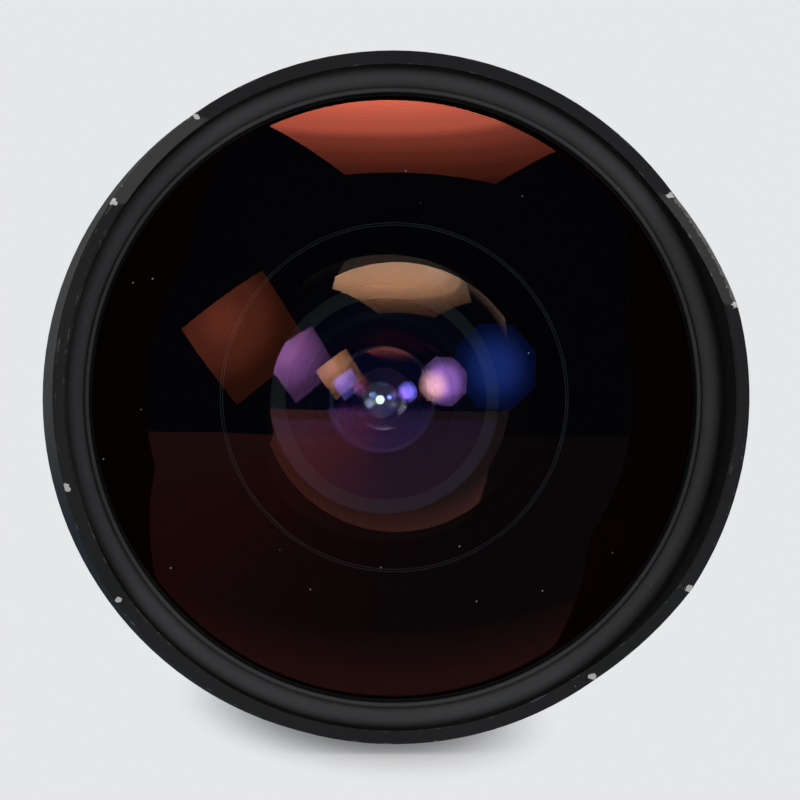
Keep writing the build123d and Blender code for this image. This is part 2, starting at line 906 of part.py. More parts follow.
def front_cell():
    """Stepped tube that holds the five smaller front elements."""
    flange_high = lens_flange_high + cell_flange_height
    ring_seat = element_2.front_edge - element_2_ring_low
    ring_top = element_2.front_edge + element_2_ring_high
    body = turned(
        (element_2.rim, element_2.rear_edge),
        (element_2.rim, ring_seat),
        (element_2.rim + ring_wall, ring_seat),
        (element_2.rim + ring_wall, ring_top),
        (front_cell_radius, ring_top),
        (front_cell_radius, flange_high),
        (cell_flange_radius, flange_high),
        (cell_flange_radius, lens_flange_high),
        (front_cell_radius, lens_flange_high),
        (front_cell_radius, lens_flange_low - cell_cone_start),
        (middle_cell_radius, lens_flange_low - cell_cone_end),
        (middle_cell_radius, iris_plate_high),
        (element_4.rim, iris_plate_high),
        (element_4.rim, element_4.front_edge),
        (element_3.rear_clear, element_4.front_edge),
        (element_3.rear_clear, element_3.rear_edge),
        (element_3.rim, element_3.rear_edge),
        (element_3.rim, element_2.rear_edge),
    )
    return body - at_cell_screws(cell_screw.hole())


def element_2_ring():
    """Threaded ring over the second element, coned to keep light off its edge."""
    seat = element_2.front_edge
    inner, outer = element_2.front_clear, element_2.rim + ring_wall
    body = turned(
        (element_2.rim, seat - element_2_ring_low),
        (outer, seat - element_2_ring_low),
        (outer, seat + element_2_ring_high),
        (element_2.rim, seat + element_2_cone),
        (inner, seat + element_2_lip),
        (inner, seat),
        (element_2.rim, seat),
    )
    low, high = seat + element_2_ring_notch, seat + element_2_ring_high + gap
    notch = bar(element_2.rim, outer + gap, element_2_ring_notch_width, low, high, 0)
    return body - around(notch, 2)


def front_group_ring():
    """Retaining ring behind the sixth element."""
    return ring(element_6.rear_clear, element_6.rim, iris_plate_high, element_6.rear_edge)


def front_barrel():
    """Flared outer barrel with the seat of the front element and the spigot of the hood."""
    seat = element_1.rear_edge
    ledge_bore = element_1.rim - seat_width
    foot = [
        (helicoid_radius, lens_flange_high),
        (helicoid_radius, barrel_start),
        (barrel_start_radius - edge_chamfer, barrel_start),
        (barrel_start_radius, barrel_start + edge_chamfer),
        (barrel_start_radius, flare_start),
    ]
    bulge = ((barrel_start_radius + flare_end_radius) / 2 + flare_bulge, (flare_start + flare_end) / 2)
    flare = ThreePointArc(foot[-1], bulge, (flare_end_radius, flare_end))
    rest = [
        (flare_end_radius, flare_end),
        (hood_radius, flare_end + hood_band_bevel),
        (hood_radius, hood_start),
        (hood_bore, hood_start),
        (hood_bore, spigot_end),
        (element_1.rim, spigot_end),
        (element_1.rim, seat),
        (ledge_bore, seat),
        (ledge_bore, seat - cone_below_seat),
        (barrel_start_radius - barrel_wall, lens_flange_high),
        (helicoid_radius, lens_flange_high),
    ]
    outline = Polyline(*foot) + flare + Polyline(*rest)
    return revolve(make_face(Plane.XZ * outline), Axis.Z)


def hood():
    """Fixed hood with two petals, left by a straight-sided cut through the rim."""
    body = turned(
        (hood_bore, hood_start),
        (hood_radius, hood_start),
        (hood_radius, tip_height - rim_chamfer),
        (hood_radius - rim_chamfer, tip_height),
        (hood_bore + rim_chamfer, tip_height),
        (hood_bore, tip_height - rim_chamfer),
    )
    reach = hood_radius + petal_depth
    side = Polyline(
        (petal_base_half, valley_height),
        (reach, valley_height),
        (reach, tip_height + petal_depth),
        (0, tip_height + petal_depth),
        (0, tip_height),
        (petal_tip_half, tip_height),
        close=True,
    )
    face = make_face(side)
    corners = [
        corner
        for corner in face.vertices()
        if (corner.X, corner.Y) in ((petal_base_half, valley_height), (petal_tip_half, tip_height))
    ]
    face = make_face(face.wire().fillet_2d(petal_corner, corners))
    cutter = extrude(Plane.YZ * face, reach, both=True)
    return body - cutter - mirror(cutter, Plane.XZ)


def retaining_ring():
    """Grey ring over the front element: a fine inner lip, a shallow step and a rounded hump."""
    top = valley_height - ring_below_rim
    lip_top = top - ring_lip_drop
    lip_outer = retaining_bore + ring_lip_width
    hump_start = (lip_outer + ring_step_width, lip_top - ring_step_drop)
    hump_middle = (hump_start[0] + (hood_bore - hump_start[0]) * hump_share - ring_groove_width, top)
    hump_end = (hood_bore - ring_groove_width, top - ring_groove_drop)
    inner = [
        (hood_bore, spigot_end),
        (element_1.rim, spigot_end),
        (element_1.rim, element_1.front_edge + seal_thickness),
        (retaining_bore, element_1.front_height(retaining_bore) + seal_thickness),
        (retaining_bore, lip_top - ring_lip_round),
        (retaining_bore + ring_lip_round, lip_top),
        (lip_outer, lip_top),
        hump_start,
    ]
    hump = ThreePointArc(hump_start, hump_middle, hump_end)
    outer = Polyline(hump_end, (hood_bore, hump_end[1] - fine_chamfer), inner[0])
    return revolve(make_face(Plane.XZ * (Polyline(*inner) + hump + outer)), Axis.Z)


def front_seal():
    """Thin black seal between the front element's dome and the retaining ring."""
    low_in = element_1.front_height(seal_bore)
    low_out = element_1.front_height(element_1.rim)
    middle = (seal_bore + element_1.rim) / 2
    under = ThreePointArc(
        (seal_bore, low_in), (middle, element_1.front_height(middle)), (element_1.rim, low_out)
    )
    lip_low = element_1.front_height(retaining_bore) + seal_thickness
    over = Polyline(
        (element_1.rim, low_out),
        (element_1.rim, low_out + seal_thickness),
        (retaining_bore, lip_low),
        (seal_bore, low_in + seal_thickness),
        (seal_bore, low_in),
    )
    return revolve(make_face(Plane.XZ * (under + over)), Axis.Z)


def blade_flat(turn):
    """Blade outline for the first station, closed by so many degrees about its pivot."""
    band = flat_sector(blade_edge, blade_outer, -blade_heel, blade_span)
    root = flat_sector(blade_edge + blade_root_step, blade_root, -blade_heel, blade_shoulder)
    outline = make_face((band + root).wire().fillet_2d(blade_corner, (band + root).vertices()))
    pivot = Pos(pivot_radius, 0)
    return pivot * Rot(0, 0, turn) * Pos(-pivot_radius, 0) * outline


def flat_sector(inner, outer, start, end):
    """Flat piece of a ring between two radii and two angles."""
    middle = (start + end) / 2
    outer_arc = ThreePointArc(polar(outer, start), polar(outer, middle), polar(outer, end))
    inner_arc = ThreePointArc(polar(inner, end), polar(inner, middle), polar(inner, start))
    first = Line(polar(outer, end), polar(inner, end))
    second = Line(polar(inner, start), polar(outer, start))
    return make_face(outer_arc + first + inner_arc + second)


def polar(radius, angle):
    """Point in the plane from its radius and its angle in degrees."""
    return (radius * cos(radians(angle)), radius * sin(radians(angle)))


def drive_point(turn):
    """Place of the first blade's drive pin when the blade is closed by so many degrees."""
    start = Vector(*polar(drive_radius, drive_angle)) - Vector(pivot_radius, 0)
    return Vector(pivot_radius, 0) + start.rotate(Axis.Z, turn)


def iris_blade(number):
    """Blade at its own layer: pivot pin into the front plate, drive pin into the cam ring."""
    top = blade_top - blade_pitch * number
    leaf = Pos(0, 0, top - blade_thickness) * extrude(blade_flat(blade_at_rest), blade_thickness)
    pivot_top = iris_plate_low + iris_plate_thickness * pin_in_plate
    leaf += Pos(pivot_radius, 0, (pivot_top + top) / 2) * Cylinder(pin_radius, pivot_top - top)
    low = top - blade_thickness
    drive_low = cam_high - cam_thickness * pin_in_plate
    at = drive_point(blade_at_rest)
    leaf += Pos(at.X, at.Y, (low + drive_low) / 2) * Cylinder(pin_radius, low - drive_low)
    return Rot(0, 0, 360.0 * number / blade_count) * leaf


def cam_ring():
    """Ring with one curved slot for each blade and a fork for the aperture key."""
    body = ring(cam_bore, iris_wall_bore - running, cam_low, cam_high)
    reach = key_outer + fork_reach
    body += bar(iris_wall_bore - fork_overlap, reach, fork_width, cam_low, cam_high, key_angle)
    slot_width = key_width + 2 * running
    inner, outer = key_inner - fork_reach, reach + gap
    body -= bar(inner, outer, slot_width, cam_low - gap, cam_high + gap, key_angle)
    open_turn = closing(stops[0]) - cam_slot_margin
    closed_turn = closing(stops[-1]) + cam_slot_margin
    points = []
    for turn in (open_turn, (open_turn + closed_turn) / 2, closed_turn):
        ring_turn = ring_turn_per_blade_turn * (turn - blade_at_rest)
        points.append(drive_point(turn).rotate(Axis.Z, -ring_turn))
    slot = SlotArc(ThreePointArc(*points), 2 * (pin_radius + pin_clearance))
    cutter = Pos(0, 0, cam_low - gap) * extrude(slot, cam_thickness + 2 * gap)
    return body - around(cutter, blade_count)


def iris_housing():
    """Front plate of the iris with its pivot holes, outer wall and threaded collar."""
    collar = middle_cell_radius + iris_collar_wall
    body = turned(
        (iris_hole, iris_plate_low),
        (iris_wall_bore, iris_plate_low),
        (iris_wall_bore, cover_high),
        (iris_wall_radius, cover_high),
        (iris_wall_radius, iris_plate_high - edge_chamfer),
        (iris_wall_radius - edge_chamfer, iris_plate_high),
        (collar, iris_plate_high),
        (collar, iris_plate_high + iris_collar_length),
        (middle_cell_radius, iris_plate_high + iris_collar_length),
        (middle_cell_radius, iris_plate_high),
        (iris_hole + iris_hole_bevel, iris_plate_high),
        (iris_hole, iris_plate_high - iris_hole_bevel),
    )
    depth = iris_plate_thickness * pin_room_in_plate
    hole = Pos(pivot_radius, 0, iris_plate_low + (depth - gap) / 2)
    hole = hole * Cylinder(pin_radius + running, depth + gap)
    body -= around(hole, blade_count)
    arm_half = degrees(asin((fork_width / 2 + gap) / iris_wall_bore))
    body -= sector(
        iris_wall_bore - gap,
        iris_wall_radius + gap,
        cover_high - gap,
        cam_high + cam_play,
        key_angle + ring_middle,
        ring_range + 2 * arm_half,
    )
    return body - at_iris_screws(iris_screw.hole(threaded=True))


def at_iris_screws(piece):
    """A screw, or its hole, driven forward through the rear cell's web and the iris cover."""
    low = cover_low - rear_web_thickness
    placed = Pos(iris_screw_circle, 0, low + head_sink) * Rot(180, 0, 0) * piece
    return around(placed, iris_screw_count, iris_screw_start)


def iris_cover():
    """Rear plate of the iris, clamped between its housing and the rear cell."""
    body = ring(cover_bore, iris_wall_radius, cover_low, cover_high)
    return body - at_iris_screws(iris_screw.hole())


def rear_cell():
    """Stepped tube that holds the seven rear elements, with a web to the iris housing."""
    web_low_face = cover_low - rear_web_thickness
    tail = element_13.rear_vertex - rear_tail
    waist = element_7.rim + rear_waist_wall
    flare = element_12.front_edge + rear_flare_rise
    body = turned(
        (element_7.rim, cover_low),
        (iris_wall_radius, cover_low),
        (iris_wall_radius, web_low_face),
        (waist, web_low_face),
        (waist, element_11.rear_edge),
        (rear_cell_radius, flare),
        (rear_cell_radius, tail),
        (element_13.rim, tail),
        (element_13.rim, element_12.front_edge),
        (element_11.rim, element_12.front_edge),
        (element_11.rim, element_10.front_edge),
        (element_9.rear_clear, element_10.front_edge),
        (element_9.rear_clear, element_9.rear_edge),
        (element_7.rim, element_9.rear_edge),
    )
    return body - at_iris_screws(iris_screw.hole())


def element_7_ring():
    """Ring that holds the seventh element down, between it and the iris cover."""
    return ring(element_7.front_clear, element_7.rim, element_7.front_edge, cover_low)


def rear_element_ring():
    """Retaining ring behind the last element, with two spanner notches."""
    tail = element_13.rear_vertex - rear_tail
    inner, outer = element_13.rear_clear, element_13.rim
    body = ring(inner, outer, tail, element_13.rear_edge)
    notch = bar(inner - gap, outer + gap, rear_notch_width, tail - gap, tail + rear_notch_depth, 0)
    return body - around(notch, 2)


def lever_arm_radii():
    """Inner and outer radius of the stop-down lever's arm."""
    return web_bore - running - lever_tube_wall, web_bore + lever_arm_step


def stop_down_lever():
    """Lever ring that turns in the fixed barrel's web, with an arm that reaches the camera."""
    bore, outer = lever_arm_radii()
    flange_low = web_high + gap
    body = turned(
        (bore, web_low - lever_tail),
        (web_bore - running, web_low - lever_tail),
        (web_bore - running, flange_low),
        (web_bore + lever_flange_reach, flange_low),
        (web_bore + lever_flange_reach, flange_low + lever_flange_thickness),
        (bore, flange_low + lever_flange_thickness),
    )
    low, high = -lever_arm_end, web_low - gap
    arm = bar(bore - gap, outer + gap, lever_arm_width, low, high, lever_arm_angle)
    return body + (arm & ring(bore, outer, low, high))


pieces = {
    "mount_ring": mount_ring(),
    "mount_screws": at_mount_screws(mount_screw.body(cross=True)),
    "index_bead": index_bead(),
    "rear_baffle": rear_baffle(),
    "baffle_screws": at_baffle_screws(baffle_screw.body(cross=True)),
    "rear_barrel": rear_barrel(),
    "scale_ring": scale_ring(),
    "scale_screws": scale_screws(grub_slot),
    "guide_keys": guide_keys(),
    "guide_key_screws": at_guide_screws(guide_screw.body()),
    "stop_pin": stop_pin(),
    "focus_retainer": focus_retainer(),
    "click_spring": click_spring(),
    "click_spring_screw": at_click_screw(click_screw.body()),
    "click_ball": click_ball(),
    "stop_down_lever": stop_down_lever(),
    "aperture_ring": aperture_ring(),
    "aperture_key": aperture_key(),
    "aperture_key_screws": at_key_screws(key_screw.body()),
    "focus_sleeve": focus_sleeve(),
    "focus_nut": focus_nut(),
    "focus_set_screws": focus_set_screws(),
    "focus_grip": focus_grip(),
    "lens_tube": lens_tube(),
    "front_barrel": front_barrel(),
    "hood": hood(),
    "retaining_ring": retaining_ring(),
    "front_seal": front_seal(),
    "front_cell": front_cell(),
    "cell_screws": at_cell_screws(cell_screw.body()),
    "element_2_ring": element_2_ring(),
    "front_spacers": front_spacers(),
    "front_group_ring": front_group_ring(),
    "iris_housing": iris_housing(),
    "iris_cover": iris_cover(),
    "iris_screws": at_iris_screws(iris_screw.body()),
    "cam_ring": cam_ring(),
    "rear_cell": rear_cell(),
    "element_7_ring": element_7_ring(),
    "rear_spacers": rear_spacers(),
    "rear_element_ring": rear_element_ring(),
}
for number, element in enumerate(front_group + rear_group, 1):
    pieces[f"element_{number}"] = glass(element)
for number in range(blade_count):
    pieces[f"iris_blade_{number + 1}"] = iris_blade(number)

# The axis is laid down: the lens looks along -Y, and the petals stay left and right
lying = Plane(origin=(0, 0, 0), x_dir=(1, 0, 0), z_dir=(0, -1, 0)).location
os.makedirs("parts", exist_ok=True)
for name, piece in pieces.items():
    solids = piece if isinstance(piece, list) else [piece]
    solids = [solid for shape in solids for solid in shape.solids()]
    placed = [lying * solid for solid in solids]
    export_step(Compound(children=placed) if len(placed) > 1 else placed[0], f"parts/{name}.step")

print("pieces", len(pieces))
print("aperture ring turns", round(-ring_opens, 3), "to", round(ring_closes, 3), "degrees")
print("stop at", round(stop_height, 3), "rear vertex at", round(element_13.rear_vertex, 3))
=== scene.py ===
"""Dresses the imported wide-angle lens: finishes, spun glass, engraved scales and the studio."""

import json
import logging
from dataclasses import dataclass, field
from enum import Enum, IntEnum
from functools import reduce
from math import asin, atan2, copysign, cos, degrees, hypot, pi, radians, sin, sqrt

import bmesh
import bpy
from mathutils import Matrix, Vector

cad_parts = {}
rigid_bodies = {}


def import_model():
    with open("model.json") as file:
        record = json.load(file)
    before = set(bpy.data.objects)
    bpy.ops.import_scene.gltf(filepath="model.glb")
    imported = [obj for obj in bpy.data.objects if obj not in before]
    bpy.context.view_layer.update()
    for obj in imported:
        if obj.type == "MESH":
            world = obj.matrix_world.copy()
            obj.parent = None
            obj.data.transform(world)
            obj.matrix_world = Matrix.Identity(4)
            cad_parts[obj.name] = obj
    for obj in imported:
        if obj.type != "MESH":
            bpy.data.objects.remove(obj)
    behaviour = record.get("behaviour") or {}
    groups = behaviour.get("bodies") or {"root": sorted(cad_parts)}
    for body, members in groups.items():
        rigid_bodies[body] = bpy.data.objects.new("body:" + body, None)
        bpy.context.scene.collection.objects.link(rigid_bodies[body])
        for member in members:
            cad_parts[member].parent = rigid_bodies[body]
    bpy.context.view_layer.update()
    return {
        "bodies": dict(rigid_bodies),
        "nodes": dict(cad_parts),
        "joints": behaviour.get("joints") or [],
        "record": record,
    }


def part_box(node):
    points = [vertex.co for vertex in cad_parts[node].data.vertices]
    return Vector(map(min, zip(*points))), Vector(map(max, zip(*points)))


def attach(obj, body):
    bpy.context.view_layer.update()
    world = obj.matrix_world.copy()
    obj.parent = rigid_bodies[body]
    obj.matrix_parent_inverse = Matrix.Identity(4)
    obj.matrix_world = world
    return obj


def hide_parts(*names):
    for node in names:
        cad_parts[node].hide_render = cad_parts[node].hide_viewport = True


LOG = logging.getLogger("lens")
MM = 0.001
AXIS = (0.0, 1.0, 0.0)
WHITE = (1.0, 1.0, 1.0)

Colour = tuple[float, float, float]
Point = tuple[float, float, float]
Node = bpy.types.Node
Socket = bpy.types.NodeSocket
Tree = bpy.types.NodeTree
Material = bpy.types.Material
Piece = bpy.types.Object
Mesh = bmesh.types.BMesh


class Body(Enum):
    """Bodies of the frame that new pieces ride on."""

    FIXED = "fixed_barrel"
    APERTURE = "aperture_ring"
    FOCUS = "focus_ring"
    OPTICS = "lens_unit"


def sagitta(curve: float, radius: float) -> float:
    """Returns how far a sphere has fallen behind its vertex at a radius from the axis."""
    return curve - copysign(sqrt(curve * curve - radius * radius), curve)


def place(radius: float, height: float, angle: float = 0.0) -> Vector:
    """Returns a point from its radius and height above the flange, in mm, and its angle from +X to +Z."""
    return Vector((radius * cos(angle), -height, radius * sin(angle))) * MM


def scaled(colour: Colour, gain: float) -> Colour:
    """Returns a colour made brighter or darker."""
    return tuple(channel * gain for channel in colour)


def new_object(name: str, mesh: Mesh, *materials: Material) -> Piece:
    """Turns a mesh into an object of the scene.

    Args:
        name: the object's name.
        mesh: its mesh, which is freed.
        materials: its material slots.

    Returns:
        The object, at the origin.
    """
    data = bpy.data.meshes.new(name)
    mesh.to_mesh(data)
    mesh.free()
    for material in materials:
        data.materials.append(material)
    made = bpy.data.objects.new(name, data)
    bpy.context.scene.collection.objects.link(made)
    return made


# Node trees


class Nodes:
    """A node tree with short ways to add nodes and to join them."""

    def __init__(self, tree: Tree) -> None:
        """Takes a tree over."""
        self.tree = tree

    def put(self, target: Socket, value: object) -> None:
        """Feeds one input.

        Args:
            target: the input.
            value: a socket to join, a number, vector or colour to set, or None to leave it.
        """
        if isinstance(value, Socket):
            self.tree.links.new(value, target)
        elif value is not None:
            target.default_value = (*value, 1.0) if target.type == "RGBA" else value

    def add(self, kind: str, inputs: dict[str | int, object] | None = None, **settings: object) -> Node:
        """Adds a shader node.

        Args:
            kind: Blender's name of the node, without ShaderNode.
            inputs: what goes into its inputs, by name or number.
            settings: its properties.

        Returns:
            The node.
        """
        made = self.tree.nodes.new(f"ShaderNode{kind}")
        for key, value in settings.items():
            setattr(made, key, value)
        for key, value in (inputs or {}).items():
            self.put(made.inputs[key], value)
        return made

    def point(self) -> Socket:
        """Returns the shaded point in the object's own frame."""
        return self.add("TexCoord").outputs["Object"]

    def split(self, vector: Socket) -> tuple[Socket, ...]:
        """Returns a vector's three coordinates."""
        return tuple(self.add("SeparateXYZ", {0: vector}).outputs)

    def math(self, operation: str, first: object, second: object = None, clamp: bool = False) -> Socket:
        """Returns the result of one sum on sockets or numbers, kept between 0 and 1 by clamp."""
        return self.add("Math", {0: first, 1: second}, operation=operation, use_clamp=clamp).outputs[0]

    def product(self, *factors: object) -> Socket:
        """Returns the product of several sockets or numbers."""
        return reduce(lambda one, other: self.math("MULTIPLY", one, other), factors)

    def across(self, first: Socket, second: Socket) -> Socket:
        """Returns the length of two sides at a right angle."""
        squares = [self.math("POWER", side, 2.0) for side in (first, second)]
        return self.math("SQRT", self.math("ADD", *squares))

    def length(self, vector: Socket) -> Socket:
        """Returns a vector's length."""
        return self.add("VectorMath", {0: vector}, operation="LENGTH").outputs["Value"]

    def fade(self, value: Socket, start: float, end: float, shape: str = "SMOOTHSTEP") -> Socket:
        """Returns a value's share of the way from a start to an end."""
        limits = {"Value": value, "From Min": start, "From Max": end}
        return self.add("MapRange", limits, interpolation_type=shape).outputs[0]

    def ramp(self, value: Socket, stops: list[tuple[float, Colour]], shape: str = "LINEAR") -> Socket:
        """Looks a value up in a colour ramp.

        Args:
            value: the place on the ramp.
            stops: each stop's place and colour, two or more.
            shape: how the ramp runs from stop to stop.

        Returns:
            The colour.
        """
        made = self.add("ValToRGB", {0: value})
        made.color_ramp.interpolation = shape
        elements = made.color_ramp.elements
        for index, (position, colour) in enumerate(stops):
            stop = elements[index] if index < 2 else elements.new(position)
            stop.position = position
            stop.color = (*colour, 1.0)
        return made.outputs[0]

    def mix(self, mask: Socket, low: object, high: object) -> Socket:
        """Mixes two colours by a mask, or two numbers where at least one is typed as a number."""
        kind, first, out = ("FLOAT", 2, 0) if float in (type(low), type(high)) else ("RGBA", 6, 2)
        return self.add("Mix", {0: mask, first: low, first + 1: high}, data_type=kind).outputs[out]

    def mix_shader(self, mask: object, low: Node, high: Node) -> Node:
        """Adds a mix of two shaders by a mask."""
        return self.add("MixShader", {0: mask, 1: low.outputs[0], 2: high.outputs[0]})


class Group(Nodes):
    """A shader group with named inputs and one output, so that each finish can set its own values."""

    def __init__(self, name: str, output: str, **usual: float) -> None:
        """Starts an empty group.

        Args:
            name: the group's name.
            output: the name of the mask or height that it gives.
            usual: each input's name and usual value.
        """
        super().__init__(bpy.data.node_groups.new(name, "ShaderNodeTree"))
        for label, value in usual.items():
            socket = self.tree.interface.new_socket(label, in_out="INPUT", socket_type="NodeSocketFloat")
            socket.default_value = value
        self.tree.interface.new_socket(output, in_out="OUTPUT", socket_type="NodeSocketFloat")
        self.given = self.tree.nodes.new("NodeGroupInput").outputs

    def noise(self, vector: Socket, inputs: dict[str, object] | None = None, **settings: object) -> Socket:
        """Returns a noise at the group's own scale."""
        place_and_scale = {"Vector": vector, "Scale": self.given["Scale"]}
        return self.add("TexNoise", {**place_and_scale, **(inputs or {})}, **settings).outputs[0]

    def closed(self, result: Socket) -> Tree:
        """Joins the result to the group's output and returns the group."""
        self.tree.links.new(result, self.tree.nodes.new("NodeGroupOutput").inputs[0])
        return self.tree


@dataclass(frozen=True)
class HoodWear:
    """The hood's wear, in metres: bright spots at the ends of its ramps, and one scratched ramp."""

    spot: float = 0.0009
    grain: float = 1800.0
    petal_end: Point = (0.0377, -0.0938, 0.0172)
    valley_end: Point = (0.0290, -0.0840, 0.0293)
    scratched_beyond: float = 0.0418
    scratch_depth: float = 0.0009
    scratch_share: float = 0.3

    def group(self) -> Tree:
        """Returns the shader group that masks the worn places."""
        made = Group("hood_wear", "Mask", Spot=self.spot, Scale=self.grain)
        point = made.point()
        x, y, z = made.split(point)
        side = made.math("ABSOLUTE", x)
        up = made.math("ABSOLUTE", z)
        quarter = made.add("CombineXYZ", {0: side, 1: y, 2: up}).outputs[0]
        noise = made.noise(point)
        size = made.product(made.given["Spot"], noise)
        spots = []
        for corner in (self.petal_end, self.valley_end):
            away = made.add("VectorMath", {0: quarter, 1: corner}, operation="DISTANCE").outputs["Value"]
            spots.append(made.math("LESS_THAN", away, size))
        outside = made.math("SUBTRACT", self.scratched_beyond, made.product(noise, self.scratch_depth))
        scratched = made.product(
            made.math("GREATER_THAN", made.across(side, up), outside),
            made.math("GREATER_THAN", up, self.petal_end[2]),
            made.math("LESS_THAN", up, self.valley_end[2]),
            made.math("LESS_THAN", y, self.valley_end[1]),
            made.math("GREATER_THAN", x, 0.0),
            made.math("GREATER_THAN", z, 0.0),
            made.product(noise, self.scratch_share),
        )
        return made.closed(made.math("MAXIMUM", made.math("MAXIMUM", *spots), scratched))


class Effects:
    """The shader groups: turned lines, grain, edge wear, the hood's wear, handling marks and lint."""

    EDGE_REACH = 0.00032
    EDGE_GAIN = 14.0
    RUB_GAIN = 9.0

    def __init__(self) -> None:
        """Builds every group once."""
        self.turned = self.turned_lines()
        self.grain = self.fine_grain()
        self.wear = self.edge_wear()
        self.marks = self.handling_marks()
        self.lint = self.lint_specks()
        self.hood = HoodWear().group()

    @staticmethod
    def turned_lines() -> Tree:
        """Returns a group whose height is the same all round the axis, as a lathe leaves it."""
        made = Group("turned_lines", "Height", Scale=2500.0, Roughness=0.6)
        x, y, z = made.split(made.point())
        profile = made.add("CombineXYZ", {0: made.across(x, z), 1: y}).outputs[0]
        look = {"Detail": 3.0, "Roughness": made.given["Roughness"]}
        return made.closed(made.noise(profile, look, noise_dimensions="2D"))

    @staticmethod
    def fine_grain() -> Tree:
        """Returns a group with the even grain of blasted metal or moulded rubber."""
        made = Group("fine_grain", "Height", Scale=9000.0, Detail=3.0)
        return made.closed(made.noise(made.point(), {"Roughness": 0.62, "Detail": made.given["Detail"]}))

    @classmethod
    def edge_wear(cls) -> Tree:
        """Returns a group that marks rubbed edges, broken up by noise."""
        made = Group("edge_wear", "Mask", Amount=0.5, Scale=400.0)
        bevel = made.add("Bevel", {"Radius": cls.EDGE_REACH}, samples=6).outputs[0]
        normal = made.add("NewGeometry").outputs["Normal"]
        flat = made.add("VectorMath", {0: bevel, 1: normal}, operation="DOT_PRODUCT").outputs["Value"]
        edge = made.math("MULTIPLY", made.math("SUBTRACT", 1.0, flat), cls.EDGE_GAIN, clamp=True)
        noise = made.noise(made.point(), {"Detail": 6.0, "Roughness": 0.7})
        rubbed = made.math("SUBTRACT", noise, made.math("SUBTRACT", 1.0, made.given["Amount"]))
        rubbed = made.math("MULTIPLY", rubbed, cls.RUB_GAIN, clamp=True)
        return made.closed(made.math("MULTIPLY", edge, rubbed, clamp=True))

    @staticmethod
    def handling_marks() -> Tree:
        """Returns a group with the faint cloudy variation that handling leaves."""
        made = Group("handling_marks", "Value", Scale=60.0)
        return made.closed(made.noise(made.point(), {"Detail": 5.0, "Distortion": 0.8}))

    @staticmethod
    def lint_specks() -> Tree:
        """Returns a group with sparse tiny specks, as lint leaves on black metal and dust on glass; on glass
        they glow as painted highlights.
        """
        made = Group("lint_specks", "Mask", Scale=700.0, Size=0.06, Share=0.12)
        cells = made.add("TexVoronoi", {"Vector": made.point(), "Scale": made.given["Scale"]}).outputs
        near = made.math("LESS_THAN", cells["Distance"], made.given["Size"])
        draw = made.add("SeparateColor", {0: cells["Color"]}).outputs["Red"]
        return made.closed(made.product(near, made.math("LESS_THAN", draw, made.given["Share"])))


# Finishes


class Surface(Nodes):
    """A material, empty at first."""

    def __init__(self, name: str) -> None:
        """Starts a material of this name."""
        self.material = bpy.data.materials.new(name)
        self.material.use_nodes = True
        super().__init__(self.material.node_tree)
        self.tree.nodes.clear()

    def closed(self, shader: Node) -> Material:
        """Joins a shader to the output and returns the material."""
        self.add("OutputMaterial", {"Surface": shader.outputs[0]})
        return self.material


class Shading(Surface):
    """A material with one Principled shader and short ways to feed it."""

    def __init__(self, name: str, **inputs: object) -> None:
        """Starts a material of this name and feeds its shader."""
        super().__init__(name)
        self.principled = self.add("BsdfPrincipled")
        self.set(**inputs)

    def set(self, **inputs: object) -> None:
        """Feeds the shader's inputs; an underscore stands for a space."""
        for key, value in inputs.items():
            self.put(self.principled.inputs[key.replace("_", " ")], value)

    def group(self, tree: Tree, **values: float) -> Socket:
        """Places a shader group with its own values and returns what it gives."""
        return self.add("Group", values, node_tree=tree).outputs[0]

    def cloudy(self, cloud: Socket, usual: float, below: float, above: float) -> Socket:
        """Returns a roughness that wanders by handling, from some way below its usual value to some above."""
        return self.mix(cloud, usual - below, usual + above)

    def bump(self, *heights: tuple[Socket, float]) -> None:
        """Chains bumps.

        Args:
            heights: pairs of a height socket and its depth in metres.
        """
        normal = None
        for height, depth in heights:
            inputs = {"Strength": 1.0, "Distance": depth, "Height": height, "Normal": normal}
            normal = self.add("Bump", inputs).outputs[0]
        self.set(Normal=normal)

    def done(self) -> Material:
        """Returns the material with its Principled shader as its surface."""
        return self.closed(self.principled)


@dataclass(frozen=True)
class Anodised:
    """Black anodised aluminium, turned and then blasted, with bare metal where edges rub."""

    colour: Colour
    roughness: float
    lines: float = 2600.0
    line_depth: float = 0.0000012
    grain_depth: float = 0.0000016
    wear: float = 0.42
    lint: float = 0.0
    gloss: float = 0.3
    clouded: float = 1.35
    bare: Colour = (0.33, 0.32, 0.31)
    bare_roughness: float = 0.32
    bare_metal: float = 0.75
    lint_colour: Colour = (0.3, 0.3, 0.31)
    chipped: Colour | None = None

    def shade(self, name: str, effects: Effects) -> Material:
        """Shades the finish; a chipped colour adds the hood's own wear.

        Args:
            name: the material's name.
            effects: the shared shader groups.

        Returns:
            The material.
        """
        made = Shading(name, Specular_IOR_Level=self.gloss)
        cloud = made.group(effects.marks)
        worn = made.group(effects.wear, Amount=self.wear)
        colour = made.mix(cloud, self.colour, scaled(self.colour, self.clouded))
        colour = made.mix(worn, colour, self.bare)
        if self.lint:
            colour = made.mix(made.group(effects.lint, Share=self.lint), colour, self.lint_colour)
        if self.chipped:
            colour = made.mix(made.group(effects.hood), colour, self.chipped)
        rough = made.cloudy(cloud, self.roughness, below=0.05, above=0.07)
        made.set(Base_Color=colour, Roughness=made.mix(worn, rough, self.bare_roughness))
        made.set(Metallic=made.mix(worn, 0.0, self.bare_metal))
        lines = made.group(effects.turned, Scale=self.lines)
        made.bump((lines, self.line_depth), (made.group(effects.grain), self.grain_depth))
        return made.done()


